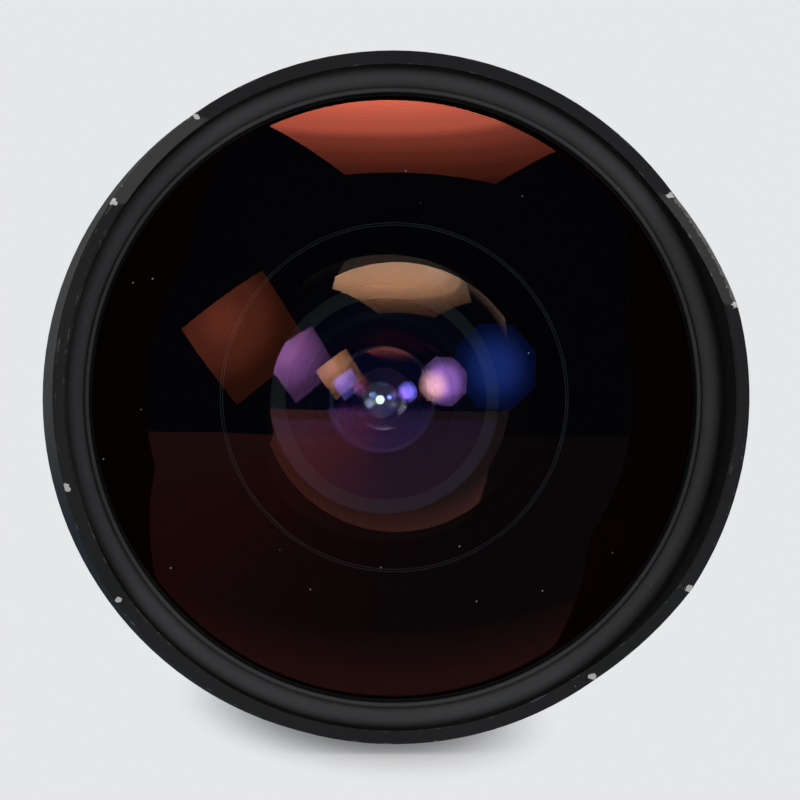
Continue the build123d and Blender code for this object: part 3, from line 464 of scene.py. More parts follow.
@dataclass(frozen=True)
class BareMetal:
    """Bare or plated metal with lathe lines and fine handling marks."""

    colour: Colour
    roughness: float
    lines: float = 3200.0
    line_depth: float = 0.0000015
    darker: float = 0.72
    grain_share: float = 0.5

    def shade(self, name: str, effects: Effects) -> Material:
        """Shades the finish.

        Args:
            name: the material's name.
            effects: the shared shader groups.

        Returns:
            The material.
        """
        made = Shading(name, Metallic=1.0)
        cloud = made.group(effects.marks, Scale=110.0)
        colour = made.mix(cloud, scaled(self.colour, self.darker), self.colour)
        made.set(Base_Color=colour, Roughness=made.cloudy(cloud, self.roughness, below=0.08, above=0.12))
        lines = made.group(effects.turned, Scale=self.lines)
        grain = made.group(effects.grain, Scale=12000.0)
        made.bump((lines, self.line_depth), (grain, self.line_depth * self.grain_share))
        return made.done()


@dataclass(frozen=True)
class Rubber:
    """Black rubber with a dry matt skin and a little pale dust."""

    colour: Colour
    roughness: float
    bloom: float = 1.9
    haze: float = 0.004
    lint: float = 0.05
    lint_colour: Colour = (0.2, 0.2, 0.2)
    coarse_depth: float = 0.00001
    fine_depth: float = 0.000004

    def shade(self, name: str, effects: Effects) -> Material:
        """Shades the finish.

        Args:
            name: the material's name.
            effects: the shared shader groups.

        Returns:
            The material.
        """
        made = Shading(name, Metallic=0.0, Specular_IOR_Level=0.35)
        cloud = made.group(effects.marks, Scale=90.0)
        bloomed = tuple(channel * self.bloom + self.haze for channel in self.colour)
        speck = made.group(effects.lint, Share=self.lint, Scale=500.0)
        colour = made.mix(speck, made.mix(cloud, self.colour, bloomed), self.lint_colour)
        made.set(Base_Color=colour, Roughness=made.cloudy(cloud, self.roughness, below=0.08, above=0.08))
        coarse = made.group(effects.grain, Scale=3800.0, Detail=4.0)
        fine = made.group(effects.grain, Scale=14000.0)
        made.bump((coarse, self.coarse_depth), (fine, self.fine_depth))
        return made.done()


@dataclass(frozen=True)
class Paint:
    """Paint of the scales, the index bead, and the black that hides glass edges."""

    colour: Colour
    roughness: float
    relief: float = 0.000004
    gloss: float = 0.5
    darker: float = 0.8

    def shade(self, name: str, effects: Effects) -> Material:
        """Shades the finish.

        Args:
            name: the material's name.
            effects: the shared shader groups.

        Returns:
            The material.
        """
        made = Shading(name, Metallic=0.0, Specular_IOR_Level=self.gloss)
        cloud = made.group(effects.marks, Scale=500.0)
        colour = made.mix(cloud, scaled(self.colour, self.darker), self.colour)
        made.set(Base_Color=colour, Roughness=made.cloudy(cloud, self.roughness, below=0.05, above=0.1))
        made.bump((made.group(effects.grain, Scale=7000.0), self.relief))
        return made.done()


@dataclass(frozen=True)
class Coating:
    """Coated glass: the coating colours and scales what one surface reflects, and its dust specks may glow as
    painted highlights.
    """

    colour: Colour
    strength: float = 1.0
    # How brightly the dust specks glow by emission: a painted highlight of lit dust.
    dust_glow: float = 0.0

    def shade(self, name: str, index: float, effects: Effects) -> Material:
        """Shades the coated surface.

        Args:
            name: the material's name.
            index: the glass's refractive index.
            effects: the shared shader groups.

        Returns:
            The material.
        """
        made = Shading(name, Metallic=0.0, Roughness=0.0, Transmission_Weight=1.0, IOR=index)
        cloud = made.group(effects.marks, Scale=25.0)
        clear = made.mix(cloud, (0.985, 0.985, 0.98), (0.995, 0.995, 0.995))
        made.set(Specular_Tint=scaled(self.colour, self.strength), Base_Color=clear)
        # Dust specks are painted as glowing emission, a painted highlight of lit dust that no lamp lights.
        if self.dust_glow:
            specks = made.group(effects.lint, Scale=900.0, Size=0.09, Share=0.02)
            pale = (self.dust_glow, self.dust_glow, self.dust_glow * 1.1)
            made.set(Emission_Color=made.mix(specks, (0.0, 0.0, 0.0), pale), Emission_Strength=1.0)
            made.material.cycles.emission_sampling = "NONE"
        return made.done()


@dataclass(frozen=True)
class OuterZone:
    """Paint or grinding on the outer part of a rear surface.

    One-way paint is seen from inside the glass only, so that light from the elements behind still passes.
    """

    begins: float
    colour: Colour
    roughness: float
    mirrored: Colour
    one_way: bool = False

    def shade(self, name: str, index: float) -> Material:
        """Shades the zone.

        Args:
            name: the material's name.
            index: the glass's refractive index.

        Returns:
            The material.
        """
        made = Shading(name, Metallic=0.0, Roughness=self.roughness, Specular_Tint=self.mirrored)
        made.set(Base_Color=self.colour)
        if not self.one_way:
            return made.done()
        glass = {"Transmission Weight": 1.0, "Roughness": 0.0, "IOR": index, "Base Color": (0.99, 0.99, 0.99)}
        clear = made.add("BsdfPrincipled", {**glass, "Specular Tint": self.mirrored})
        inside = made.add("NewGeometry").outputs["Backfacing"]
        return made.closed(made.mix_shader(inside, clear, made.principled))


BLACK = (0.02, 0.02, 0.02)

FINISHES = {
    "black_metal": Anodised(BLACK, 0.5, wear=0.44, lint=0.03, gloss=0.12),
    "hood_black": Anodised(BLACK, 0.5, wear=0.44, lint=0.03, gloss=0.12, chipped=(0.6, 0.59, 0.57)),
    "deep_black": Anodised((0.003, 0.003, 0.0032), 0.7, wear=0.1, gloss=0.1),
    "matt_black": Anodised((0.008, 0.008, 0.0085), 0.62, wear=0.2, line_depth=0.000004),
    "grey_black_ring": Anodised((0.05, 0.05, 0.051), 0.5, wear=0.16, line_depth=0.0000016, lint=0.05),
    "bright_mount": BareMetal((0.72, 0.71, 0.69), 0.24),
    "steel_screws": BareMetal((0.62, 0.61, 0.6), 0.26),
    "spring_steel": BareMetal((0.5, 0.5, 0.5), 0.2),
    "bronze": BareMetal((0.6, 0.43, 0.2), 0.3),
    "blade_steel": BareMetal((0.13, 0.13, 0.145), 0.42, line_depth=0.0000006),
    "black_screws": Paint((0.012, 0.012, 0.013), 0.36),
    "index_bead": Paint((0.6, 0.012, 0.015), 0.16, relief=0.000001),
    "grip_rubber": Rubber((0.014, 0.014, 0.014), 0.72),
    "seal_rubber": Rubber((0.006, 0.006, 0.006), 0.8, lint=0.0),
}

# Nodes whose finish differs from that of their material slot
OWN_FINISH = {"hood": "hood_black", "element_2_ring": "deep_black"}

EDGE_BLACK = Paint((0.0025, 0.0025, 0.0028), 0.9, gloss=0.0)
GROUND_GLASS = Paint((0.06, 0.06, 0.063), 0.6)
SCALE_WHITE = Paint((0.72, 0.72, 0.7), 0.5)
SCALE_AMBER = Paint((0.75, 0.38, 0.04), 0.5)


# Glass


class Lathe:
    """A profile drawn with arcs and straight runs beside the axis, and then spun about it."""

    def __init__(self, radius: float, height: float) -> None:
        """Starts the profile at a radius and a height, in millimetres."""
        self.mesh = bmesh.new()
        self.tip = self.mesh.verts.new(place(radius, height))

    def line_to(self, radius: float, height: float) -> None:
        """Draws a straight run.

        Args:
            radius: the radius from the axis where the run ends.
            height: the height where it ends.
        """
        target = place(radius, height)
        if (target - self.tip.co).length < 0.001 * MM:
            return
        self.tip = bmesh.ops.extrude_vert_indiv(self.mesh, verts=[self.tip])["verts"][0]
        self.tip.co = target

    def arc_to(self, centre: float, radius: float, height: float, steps: int) -> None:
        """Draws an arc about a point on the axis.

        Args:
            centre: the height of the arc's centre.
            radius: the radius from the axis where the arc ends.
            height: the height where it ends.
            steps: how many runs make the arc.
        """
        middle = place(0.0, centre)
        start = self.tip.co - middle
        end = place(radius, height) - middle
        sweep = atan2(end.y, end.x) - atan2(start.y, start.x)
        sweep = (sweep + pi) % (2.0 * pi) - pi
        made = bmesh.ops.spin(
            self.mesh, geom=[self.tip], cent=middle, axis=(0.0, 0.0, 1.0), angle=sweep, steps=steps
        )
        self.tip = next(part for part in made["geom_last"] if isinstance(part, bmesh.types.BMVert))
        self.tip.co = place(radius, height)

    def spin(self, segments: int) -> Mesh:
        """Spins the profile about the lens axis.

        Args:
            segments: how many steps go round.

        Returns:
            The closed shell, facing outwards.
        """
        geometry = self.mesh.verts[:] + self.mesh.edges[:]
        turn = {"cent": (0.0, 0.0, 0.0), "axis": AXIS, "angle": 2.0 * pi}
        bmesh.ops.spin(self.mesh, geom=geometry, steps=segments, use_merge=True, **turn)
        bmesh.ops.remove_doubles(self.mesh, verts=self.mesh.verts[:], dist=0.0005 * MM)
        bmesh.ops.recalc_face_normals(self.mesh, faces=self.mesh.faces[:])
        if self.mesh.calc_volume(signed=True) < 0.0:
            bmesh.ops.reverse_faces(self.mesh, faces=self.mesh.faces[:])
        return self.mesh


def smooth(mesh: Mesh, sharpest: float = 28.0) -> Mesh:
    """Shades a mesh smooth, but for sharp edges and those between two materials.

    Args:
        mesh: the mesh.
        sharpest: the turn at an edge, in degrees, past which it is sharp.

    Returns:
        The same mesh.
    """
    for face in mesh.faces:
        face.smooth = True
    for edge in mesh.edges:
        faces = edge.link_faces
        if len(faces) == 2:
            turned = faces[0].normal.angle(faces[1].normal, 0.0)
            edge.smooth = turned < radians(sharpest) and faces[0].material_index == faces[1].material_index
    return mesh


class Skin(IntEnum):
    """Material slots of a glass element."""

    FRONT = 0
    REAR = 1
    BLACK = 2
    OUTER = 3
    GROUND = 4


@dataclass(frozen=True)
class Element:
    """One glass element: its curves, its thickness, and how far it is clear, in millimetres.

    The ground rings lie on its rear land, each from and to a distance beyond the clear part.
    """

    number: int
    front_curve: float
    rear_curve: float
    thickness: float
    rim: float
    front_clear: float
    rear_clear: float
    index: float
    front_coat: Coating
    rear_coat: Coating
    arc_steps: int = 22
    segments: int = 144
    cement: float = 0.0
    rim_gap: float = 0.01
    outer: OuterZone | None = None
    ground: tuple[tuple[float, float], ...] = ()

    def vertex(self) -> float:
        """Returns the height of the front vertex, taken from the frame's node."""
        low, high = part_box(f"element_{self.number}")
        foremost, rearmost = -low.y / MM, -high.y / MM
        if self.front_curve > 0:
            return foremost
        if self.rear_curve < 0:
            return rearmost + self.thickness
        return foremost + sagitta(self.front_curve, self.front_clear)

    def reaches(self) -> tuple[float, float, float]:
        """Returns the radii of the rim, of the front surface and of the rear surface."""
        rim = self.rim - self.rim_gap
        return rim, min(self.front_clear, rim), min(self.rear_clear, rim)

    def spun(self, front: float, rear: float) -> Mesh:
        """Spins the element's outline.

        Args:
            front: the height of its front vertex.
            rear: the height of its rear vertex.

        Returns:
            The closed shell.
        """
        rim, front_reach, rear_reach = self.reaches()
        front_edge = front - sagitta(self.front_curve, front_reach)
        rear_edge = rear - sagitta(self.rear_curve, rear_reach)
        lathe = Lathe(0.0, front)
        lathe.arc_to(front - self.front_curve, front_reach, front_edge, self.arc_steps)
        lathe.line_to(rim, front_edge)
        lathe.line_to(rim, rear_edge)
        for low, high in reversed(self.ground):
            lathe.line_to(rear_reach + high, rear_edge)
            lathe.line_to(rear_reach + low, rear_edge)
        lathe.line_to(rear_reach, rear_edge)
        lathe.arc_to(rear - self.rear_curve, 0.0, rear, self.arc_steps)
        return lathe.spin(self.segments)

    def coat(self, mesh: Mesh, front: float, rear: float) -> None:
        """Gives each face its slot: coated where it lies on a clear sphere, ground or black elsewhere.

        Args:
            mesh: the element's shell.
            front: the height of its front vertex.
            rear: the height of its rear vertex.
        """
        _, front_reach, rear_reach = self.reaches()
        land = place(0.0, rear - sagitta(self.rear_curve, rear_reach)).y
        sides = (
            (Skin.FRONT, place(0.0, front - self.front_curve), abs(self.front_curve), front_reach, -1.0),
            (Skin.REAR, place(0.0, rear - self.rear_curve), abs(self.rear_curve), rear_reach, 1.0),
        )
        for face in mesh.faces:
            centre = face.calc_center_median()
            radius = hypot(centre.x, centre.z) / MM
            on_land = abs(centre.y - land) < 0.001 * MM
            ground = on_land and any(low < radius - rear_reach < high for low, high in self.ground)
            face.material_index = Skin.GROUND if ground else Skin.BLACK
            for skin, sphere, curve, clear, facing in sides:
                on_sphere = all(abs((v.co - sphere).length - curve * MM) < 0.002 * MM for v in face.verts)
                if on_sphere and radius < clear and face.normal.y * facing > 0.0:
                    outside = skin == Skin.REAR and self.outer and radius > self.outer.begins
                    face.material_index = Skin.OUTER if outside else skin

    def build(self, edge_black: Material, effects: Effects) -> None:
        """Spins the element and gives each face its coating, and its lands and rim their black.

        Args:
            edge_black: the paint of the lands and the rim.
            effects: the shared shader groups.
        """
        front = self.vertex()
        rear = front - self.thickness + self.cement
        mesh = self.spun(front, rear)
        self.coat(mesh, front, rear)
        name = f"glass_element_{self.number}"
        materials = [
            self.front_coat.shade(f"{name}_front", self.index, effects),
            self.rear_coat.shade(f"{name}_rear", self.index, effects),
            edge_black,
        ]
        if self.outer:
            materials.append(self.outer.shade(f"{name}_outer", self.index))
        if self.ground:
            materials.append(GROUND_GLASS.shade(f"{name}_ground", effects))
        piece = new_object(name, smooth(mesh), *materials)
        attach(piece, Body.OPTICS.value)
        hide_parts(f"element_{self.number}")
        LOG.info("%s: vertex at %.2f mm, %d faces", name, front, len(piece.data.polygons))


# The front surface's dust specks glow as painted highlights.
RED_ORANGE = Coating((1.0, 0.17, 0.10), 3.5, dust_glow=0.2)
GOLD = Coating((1.0, 0.31, 0.14), 1.6)
MAGENTA = Coating((1.0, 0.24, 0.75), 0.95)
EMBER = Coating((1.0, 0.08, 0.04), 0.6)
INDIGO = Coating((0.45, 0.2, 1.0), 2.0)
PURPLE = Coating((0.5, 0.14, 1.0), 1.0)
AZURE = Coating((0.35, 0.35, 1.0), 3.0)
ROSE = Coating((1.0, 0.5, 1.0), 1.0)
BLUE = Coating((0.1, 0.3, 1.0), 0.8)
GREEN = Coating((0.3, 0.8, 0.4), 0.12)

BLACK_ZONE = OuterZone(15.3, (0.0006, 0.0006, 0.0008), 0.0, (0.12, 0.05, 0.03), one_way=True)
OLIVE_ZONE = OuterZone(13.6, (0.22, 0.18, 0.13), 0.6, (0.5, 0.5, 0.5))
MAUVE_ZONE = OuterZone(9.1, (0.5, 0.38, 0.36), 0.6, (0.5, 0.5, 0.5))
FINE_RINGS = ((0.02, 0.1), (0.3, 0.38))

GLASSES = [
    Element(
        1, 65.985, 30.0, 6.3, 37.8, 37.8, 19.4, 1.62, RED_ORANGE, GOLD, 64, 256,
        outer=BLACK_ZONE, ground=FINE_RINGS,
    ),
    Element(2, 80.0, 22.5, 2.6, 21.0, 20.0, 15.5, 1.62, MAGENTA, EMBER, 40, 192, outer=OLIVE_ZONE),
    Element(3, 110.0, 14.5, 2.0, 13.2, 12.4, 9.8, 1.60, INDIGO, PURPLE, 32, outer=MAUVE_ZONE),
    Element(4, 44.0, -34.0, 9.0, 10.4, 9.6, 9.0, 1.67, AZURE, ROSE),
    Element(5, 60.0, 17.0, 2.0, 10.4, 9.0, 8.4, 1.52, PURPLE, BLUE),
    Element(6, 24.0, -60.0, 6.0, 10.4, 8.4, 8.4, 1.70, BLUE, ROSE),
    Element(7, -37.5, -38.0, 2.2, 8.2, 6.8, 6.8, 1.62, GREEN, GREEN),
    Element(8, 64.0, -21.5, 4.2, 8.2, 6.8, 8.2, 1.62, GREEN, GREEN, cement=0.01),
    Element(9, -21.5, 29.0, 1.4, 8.2, 8.2, 7.4, 1.80, GREEN, GREEN),
    Element(10, -22.2, 29.5, 1.4, 9.8, 8.4, 8.4, 1.80, GREEN, GREEN),
    Element(11, -110.0, -18.4, 3.4, 9.8, 8.8, 8.8, 1.50, GREEN, GREEN),
    Element(12, 88.0, -25.0, 4.4, 11.0, 9.6, 10.2, 1.50, GREEN, GREEN),
    Element(13, 52.0, -52.0, 4.0, 11.0, 10.2, 10.2, 1.62, GREEN, GREEN),
]


# Scales


@dataclass(frozen=True)
class Mark:
    """One engraved and filled mark on a ring: text, or a line where the text is empty."""

    angle: float
    text: str = ""
    size: float = 1.5
    shift: float = 0.0


@dataclass
class EngravedScale:
    """Marks wrapped on a ring's outside, standing proud of it by a hair as filled paint does."""

    name: str
    body: Body
    radius: float
    height: float
    marks: list[Mark]
    line_length: float = 1.6
    line_width: float = 0.18
    line_size: float = 1.5
    rounding: float = 0.3
    font_size: float = 1.4
    proud: float = 0.02
    depth: float = 0.06

    def build(self, paint: Material) -> None:
        """Makes every mark, wraps it on the ring and joins them as one piece.

        Args:
            paint: the fill's material.
        """
        mesh = bmesh.new()
        for mark in self.marks:
            flat = self.text(mark) if mark.text else self.line(mark)
            self.wrap(flat, mark.angle)
            data = bpy.data.meshes.new("one_mark")
            flat.to_mesh(data)
            flat.free()
            mesh.from_mesh(data)
            bpy.data.meshes.remove(data)
        bmesh.ops.recalc_face_normals(mesh, faces=mesh.faces[:])
        for face in mesh.faces:
            face.smooth = False
        piece = new_object(self.name, mesh, paint)
        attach(piece, self.body.value)
        LOG.info("%s: %d marks", self.name, len(self.marks))

    def text(self, mark: Mark) -> Mesh:
        """Makes a mark's text, centred and flat with a little thickness.

        Args:
            mark: the mark.

        Returns:
            Its mesh, in millimetres.
        """
        curve = bpy.data.curves.new("mark_text", "FONT")
        curve.body = mark.text
        curve.size = mark.size * self.font_size
        curve.align_x = "CENTER"
        curve.align_y = "CENTER"
        curve.resolution_u = 4
        curve.extrude = self.depth / 2
        holder = bpy.data.objects.new("mark_text", curve)
        solid = bpy.data.meshes.new_from_object(holder)
        bpy.data.objects.remove(holder)
        bpy.data.curves.remove(curve)
        mesh = bmesh.new()
        mesh.from_mesh(solid)
        bpy.data.meshes.remove(solid)
        bmesh.ops.remove_doubles(mesh, verts=mesh.verts[:], dist=0.0005)
        bmesh.ops.translate(mesh, verts=mesh.verts[:], vec=(0.0, mark.shift, 0.0))
        return mesh

    def line(self, mark: Mark) -> Mesh:
        """Makes a mark's line, a thin bar along the axis with rounded corners.

        Args:
            mark: the mark.

        Returns:
            Its mesh, in millimetres.
        """
        mesh = bmesh.new()
        bmesh.ops.create_cube(mesh, size=1.0)
        scale = (self.line_width * mark.size / self.line_size, self.line_length, self.depth)
        bmesh.ops.scale(mesh, verts=mesh.verts[:], vec=scale)
        bmesh.ops.translate(mesh, verts=mesh.verts[:], vec=(0.0, mark.shift, 0.0))
        edges = [edge for edge in mesh.edges if abs((edge.verts[0].co - edge.verts[1].co).z) > self.depth / 2]
        shape = {"segments": 2, "profile": 0.5, "affect": "EDGES", "material": -1}
        bmesh.ops.bevel(mesh, geom=edges, offset=self.line_width * self.rounding, **shape)
        return mesh

    def wrap(self, mesh: Mesh, angle: float) -> None:
        """Bends a flat mark round the ring: its width goes round, its height along the axis.

        Args:
            mesh: the mark's mesh.
            angle: where its middle goes, in degrees.
        """
        base = self.radius + self.proud - self.depth / 2
        for vert in mesh.verts:
            round_angle = radians(angle) + vert.co.x / self.radius
            vert.co = place(base + vert.co.z, self.height + vert.co.y, round_angle)


@dataclass
class Scales:
    """Aperture numbers, distances and depth of field, all read against one index line.

    A band is the ring that carries the marks, with its radius and its height in millimetres.
    """

    aperture_band: tuple[Body, float, float] = (Body.APERTURE, 32.5, 9.35)
    distance_band: tuple[Body, float, float] = (Body.FOCUS, 35.0, 20.9)
    depth_band: tuple[Body, float, float] = (Body.FIXED, 33.9, 14.75)
    index_angle: float = 180.0
    focal_length: float = 15.0
    pupil_ratio: float = 0.4
    blade_edge: float = 5.7
    pivot_radius: float = 12.0
    ring_per_blade: float = 2.0
    rest_stop: float = 16.0
    stops: tuple[float, ...] = (3.5, 4.0, 5.6, 8.0, 11.0, 16.0, 22.0)
    depth_stops: tuple[float, ...] = (8.0, 11.0, 16.0, 22.0)
    focus_turn: float = 130.0
    focus_travel: float = 4.2
    film_to_node: float = 91.4
    blur: float = 0.03
    foot: float = 0.3048
    metres: tuple[float, ...] = (0.16, 0.2, 0.25, 0.3, 0.5, 1.0)
    feet: tuple[float, ...] = (0.6, 0.8, 1.0, 1.5, 3.0)

    def closing(self, stop: float) -> float:
        """Returns how far the blades have closed, in degrees, at an f-number."""
        opening = self.focal_length / (2.0 * stop) / self.pupil_ratio
        return 2.0 * degrees(asin((self.blade_edge - opening) / (2.0 * self.pivot_radius)))

    def ring_angle(self, stop: float) -> float:
        """Returns where an f-number's mark sits on the aperture ring at rest."""
        return self.index_angle - self.ring_per_blade * (self.closing(stop) - self.closing(self.rest_stop))

    def turn_per_mm(self) -> float:
        """Returns the focusing ring's turn for each millimetre of travel."""
        return self.focus_turn / self.focus_travel

    def focus_angle(self, metres: float) -> float:
        """Returns where a distance's mark sits on the focusing ring at rest."""
        extension = self.focal_length**2 / (metres / MM - self.film_to_node)
        return self.index_angle - min(extension * self.turn_per_mm(), self.focus_turn)

    def label(self, value: float) -> str:
        """Returns a number as a scale shows it, with no zero before its point."""
        return f"{value:g}".removeprefix("0")

    def build(self, white: Material, amber: Material) -> None:
        """Builds the aperture, distance and depth scales.

        Args:
            white: the main fill.
            amber: the fill of the distances in feet.
        """
        index = self.index_angle
        numbers = [Mark(self.ring_angle(stop), self.label(stop), size=1.3) for stop in self.stops]
        lines = [Mark(self.ring_angle(stop), shift=1.85, size=1.1) for stop in self.stops]
        EngravedScale("aperture_numbers", *self.aperture_band, numbers).build(white)
        EngravedScale("aperture_lines", *self.aperture_band, lines, line_length=0.8).build(white)
        far = Mark(index, "∞", size=2.6, shift=1.2)
        metres = [Mark(self.focus_angle(d), self.label(d), size=1.6, shift=1.2) for d in self.metres]
        EngravedScale("distance_metres", *self.distance_band, [far, *metres]).build(white)
        feet = [Mark(self.focus_angle(d * self.foot), self.label(d), size=1.6, shift=3.5) for d in self.feet]
        EngravedScale("distance_feet", *self.distance_band, feet).build(amber)
        ticks = [Mark(angle, shift=-2.0) for angle in (*map(self.focus_angle, self.metres), index)]
        EngravedScale("distance_lines", *self.distance_band, ticks).build(white)
        depth = [Mark(index, size=2.6)]
        names = []
        for stop in self.depth_stops:
            spread = stop * self.blur * self.turn_per_mm()
            for angle in (index - spread, index + spread):
                depth.append(Mark(angle, shift=1.0))
                names.append(Mark(angle, self.label(stop), size=1.15, shift=-0.75))
        EngravedScale("depth_lines", *self.depth_band, depth, line_length=1.7).build(white)
        EngravedScale("depth_numbers", *self.depth_band, names).build(white)


# Studio


@dataclass(frozen=True)
class Glow:
    """What a panel sends out: off the dome's face, through the dome's glass, and onto matt pieces."""

    face: float = 0.0
    face_colour: Colour = WHITE
    inner: float = 0.0
    inner_colour: Colour = WHITE
    lights: float = 0.0

    def by_ray(self, made: Nodes) -> Socket:
        """Picks the colour for the kind of ray that meets the glow.

        Args:
            made: the material's nodes.

        Returns:
            The colour.
        """
        rays = made.add("LightPath").outputs
        lights = (self.lights,) * 3
        colour = made.mix(rays["Is Glossy Ray"], lights, scaled(self.face_colour, self.face))
        colour = made.mix(rays["Is Transmission Ray"], colour, scaled(self.inner_colour, self.inner))
        return made.mix(made.math("GREATER_THAN", rays["Diffuse Depth"], 0.5), colour, lights)


@dataclass(frozen=True)
class Panel:
    """A glowing panel of the studio, seen only in reflections and by what it lights.

    Its place is given in the picture's own directions from the dome: right, up and back to the camera.
    It faces the dome unless it says where.
    """

    name: str
    towards: Point
    distance: float
    radius: float
    sides: int
    glow: Glow
    turn: float = 0.0
    facing: Point | None = None
    fall: tuple[tuple[float, float], ...] = ((0.0, 1.0), (1.0, 1.0))
    shift: tuple[float, float] = (0.0, 0.0)
    stretch: float = 1.0

    def shade(self) -> Material:
        """Returns a one-sided glow that may fall off from the panel's middle to its edge."""
        made = Surface(f"{self.name}_glow")
        sides = {0: made.point(), 1: (self.stretch, 1.0, 1.0)}
        stretched = made.add("VectorMath", sides, operation="MULTIPLY").outputs[0]
        greys = [(distance, (share,) * 3) for distance, share in self.fall]
        strength = made.ramp(made.length(stretched), greys, "EASE")
        glow = made.add("Emission", {"Color": self.glow.by_ray(made), "Strength": strength})
        hidden = made.add("NewGeometry").outputs["Backfacing"]
        if not self.glow.lights or not self.glow.face:
            order = "LESS_THAN" if self.glow.lights else "GREATER_THAN"
            unseen = made.math(order, made.add("LightPath").outputs["Diffuse Depth"], 0.5)
            hidden = made.math("MAXIMUM", hidden, unseen)
        return made.closed(made.mix_shader(hidden, glow, made.add("BsdfTransparent")))


PANELS = [
    Panel(
        "overhead_box", (0.025, 0.9, 0.05), 1.0, 0.62, 6,
        Glow(3.3, (1.0, 1.05, 1.0), 6.2, (1.0, 0.98, 0.96)),
        turn=-7.4,
        facing=(0.0, -1.0, 0.0),
        fall=((0.3, 1.0), (0.46, 0.6), (0.53, 0.24), (0.62, 0.13), (0.7, 0.075), (0.79, 0.04)),
        shift=(0.175, 0.15),
        stretch=0.86,
    ),
    Panel("overhead_light", (0.085, 0.9, -0.03), 1.02, 0.6, 8, Glow(lights=2.6), facing=(0.0, -1.0, 0.0)),
    Panel(
        "left_box", (-0.457, 0.286, 0.842), 1.03, 0.258, 4,
        Glow(0.49, (1.0, 1.3, 1.2), 6.4, (1.0, 0.97, 1.0), lights=0.7),
        turn=59.0,
        fall=((0.02, 1.0), (0.12, 0.62), (0.25, 0.2)),
        shift=(0.09, 0.068),
    ),
    Panel(
        "right_box", (0.494, 0.131, 0.859), 1.0, 0.163, 8,
        Glow(6.3, (0.006, 0.09, 1.0), 12.5, (1.0, 1.15, 1.4)),
        fall=((0.02, 1.0), (0.15, 0.14)),
    ),
    Panel("room_light", (0.0, -0.1, 1.3), 1.0, 0.45, 24, Glow(lights=1.7)),
]


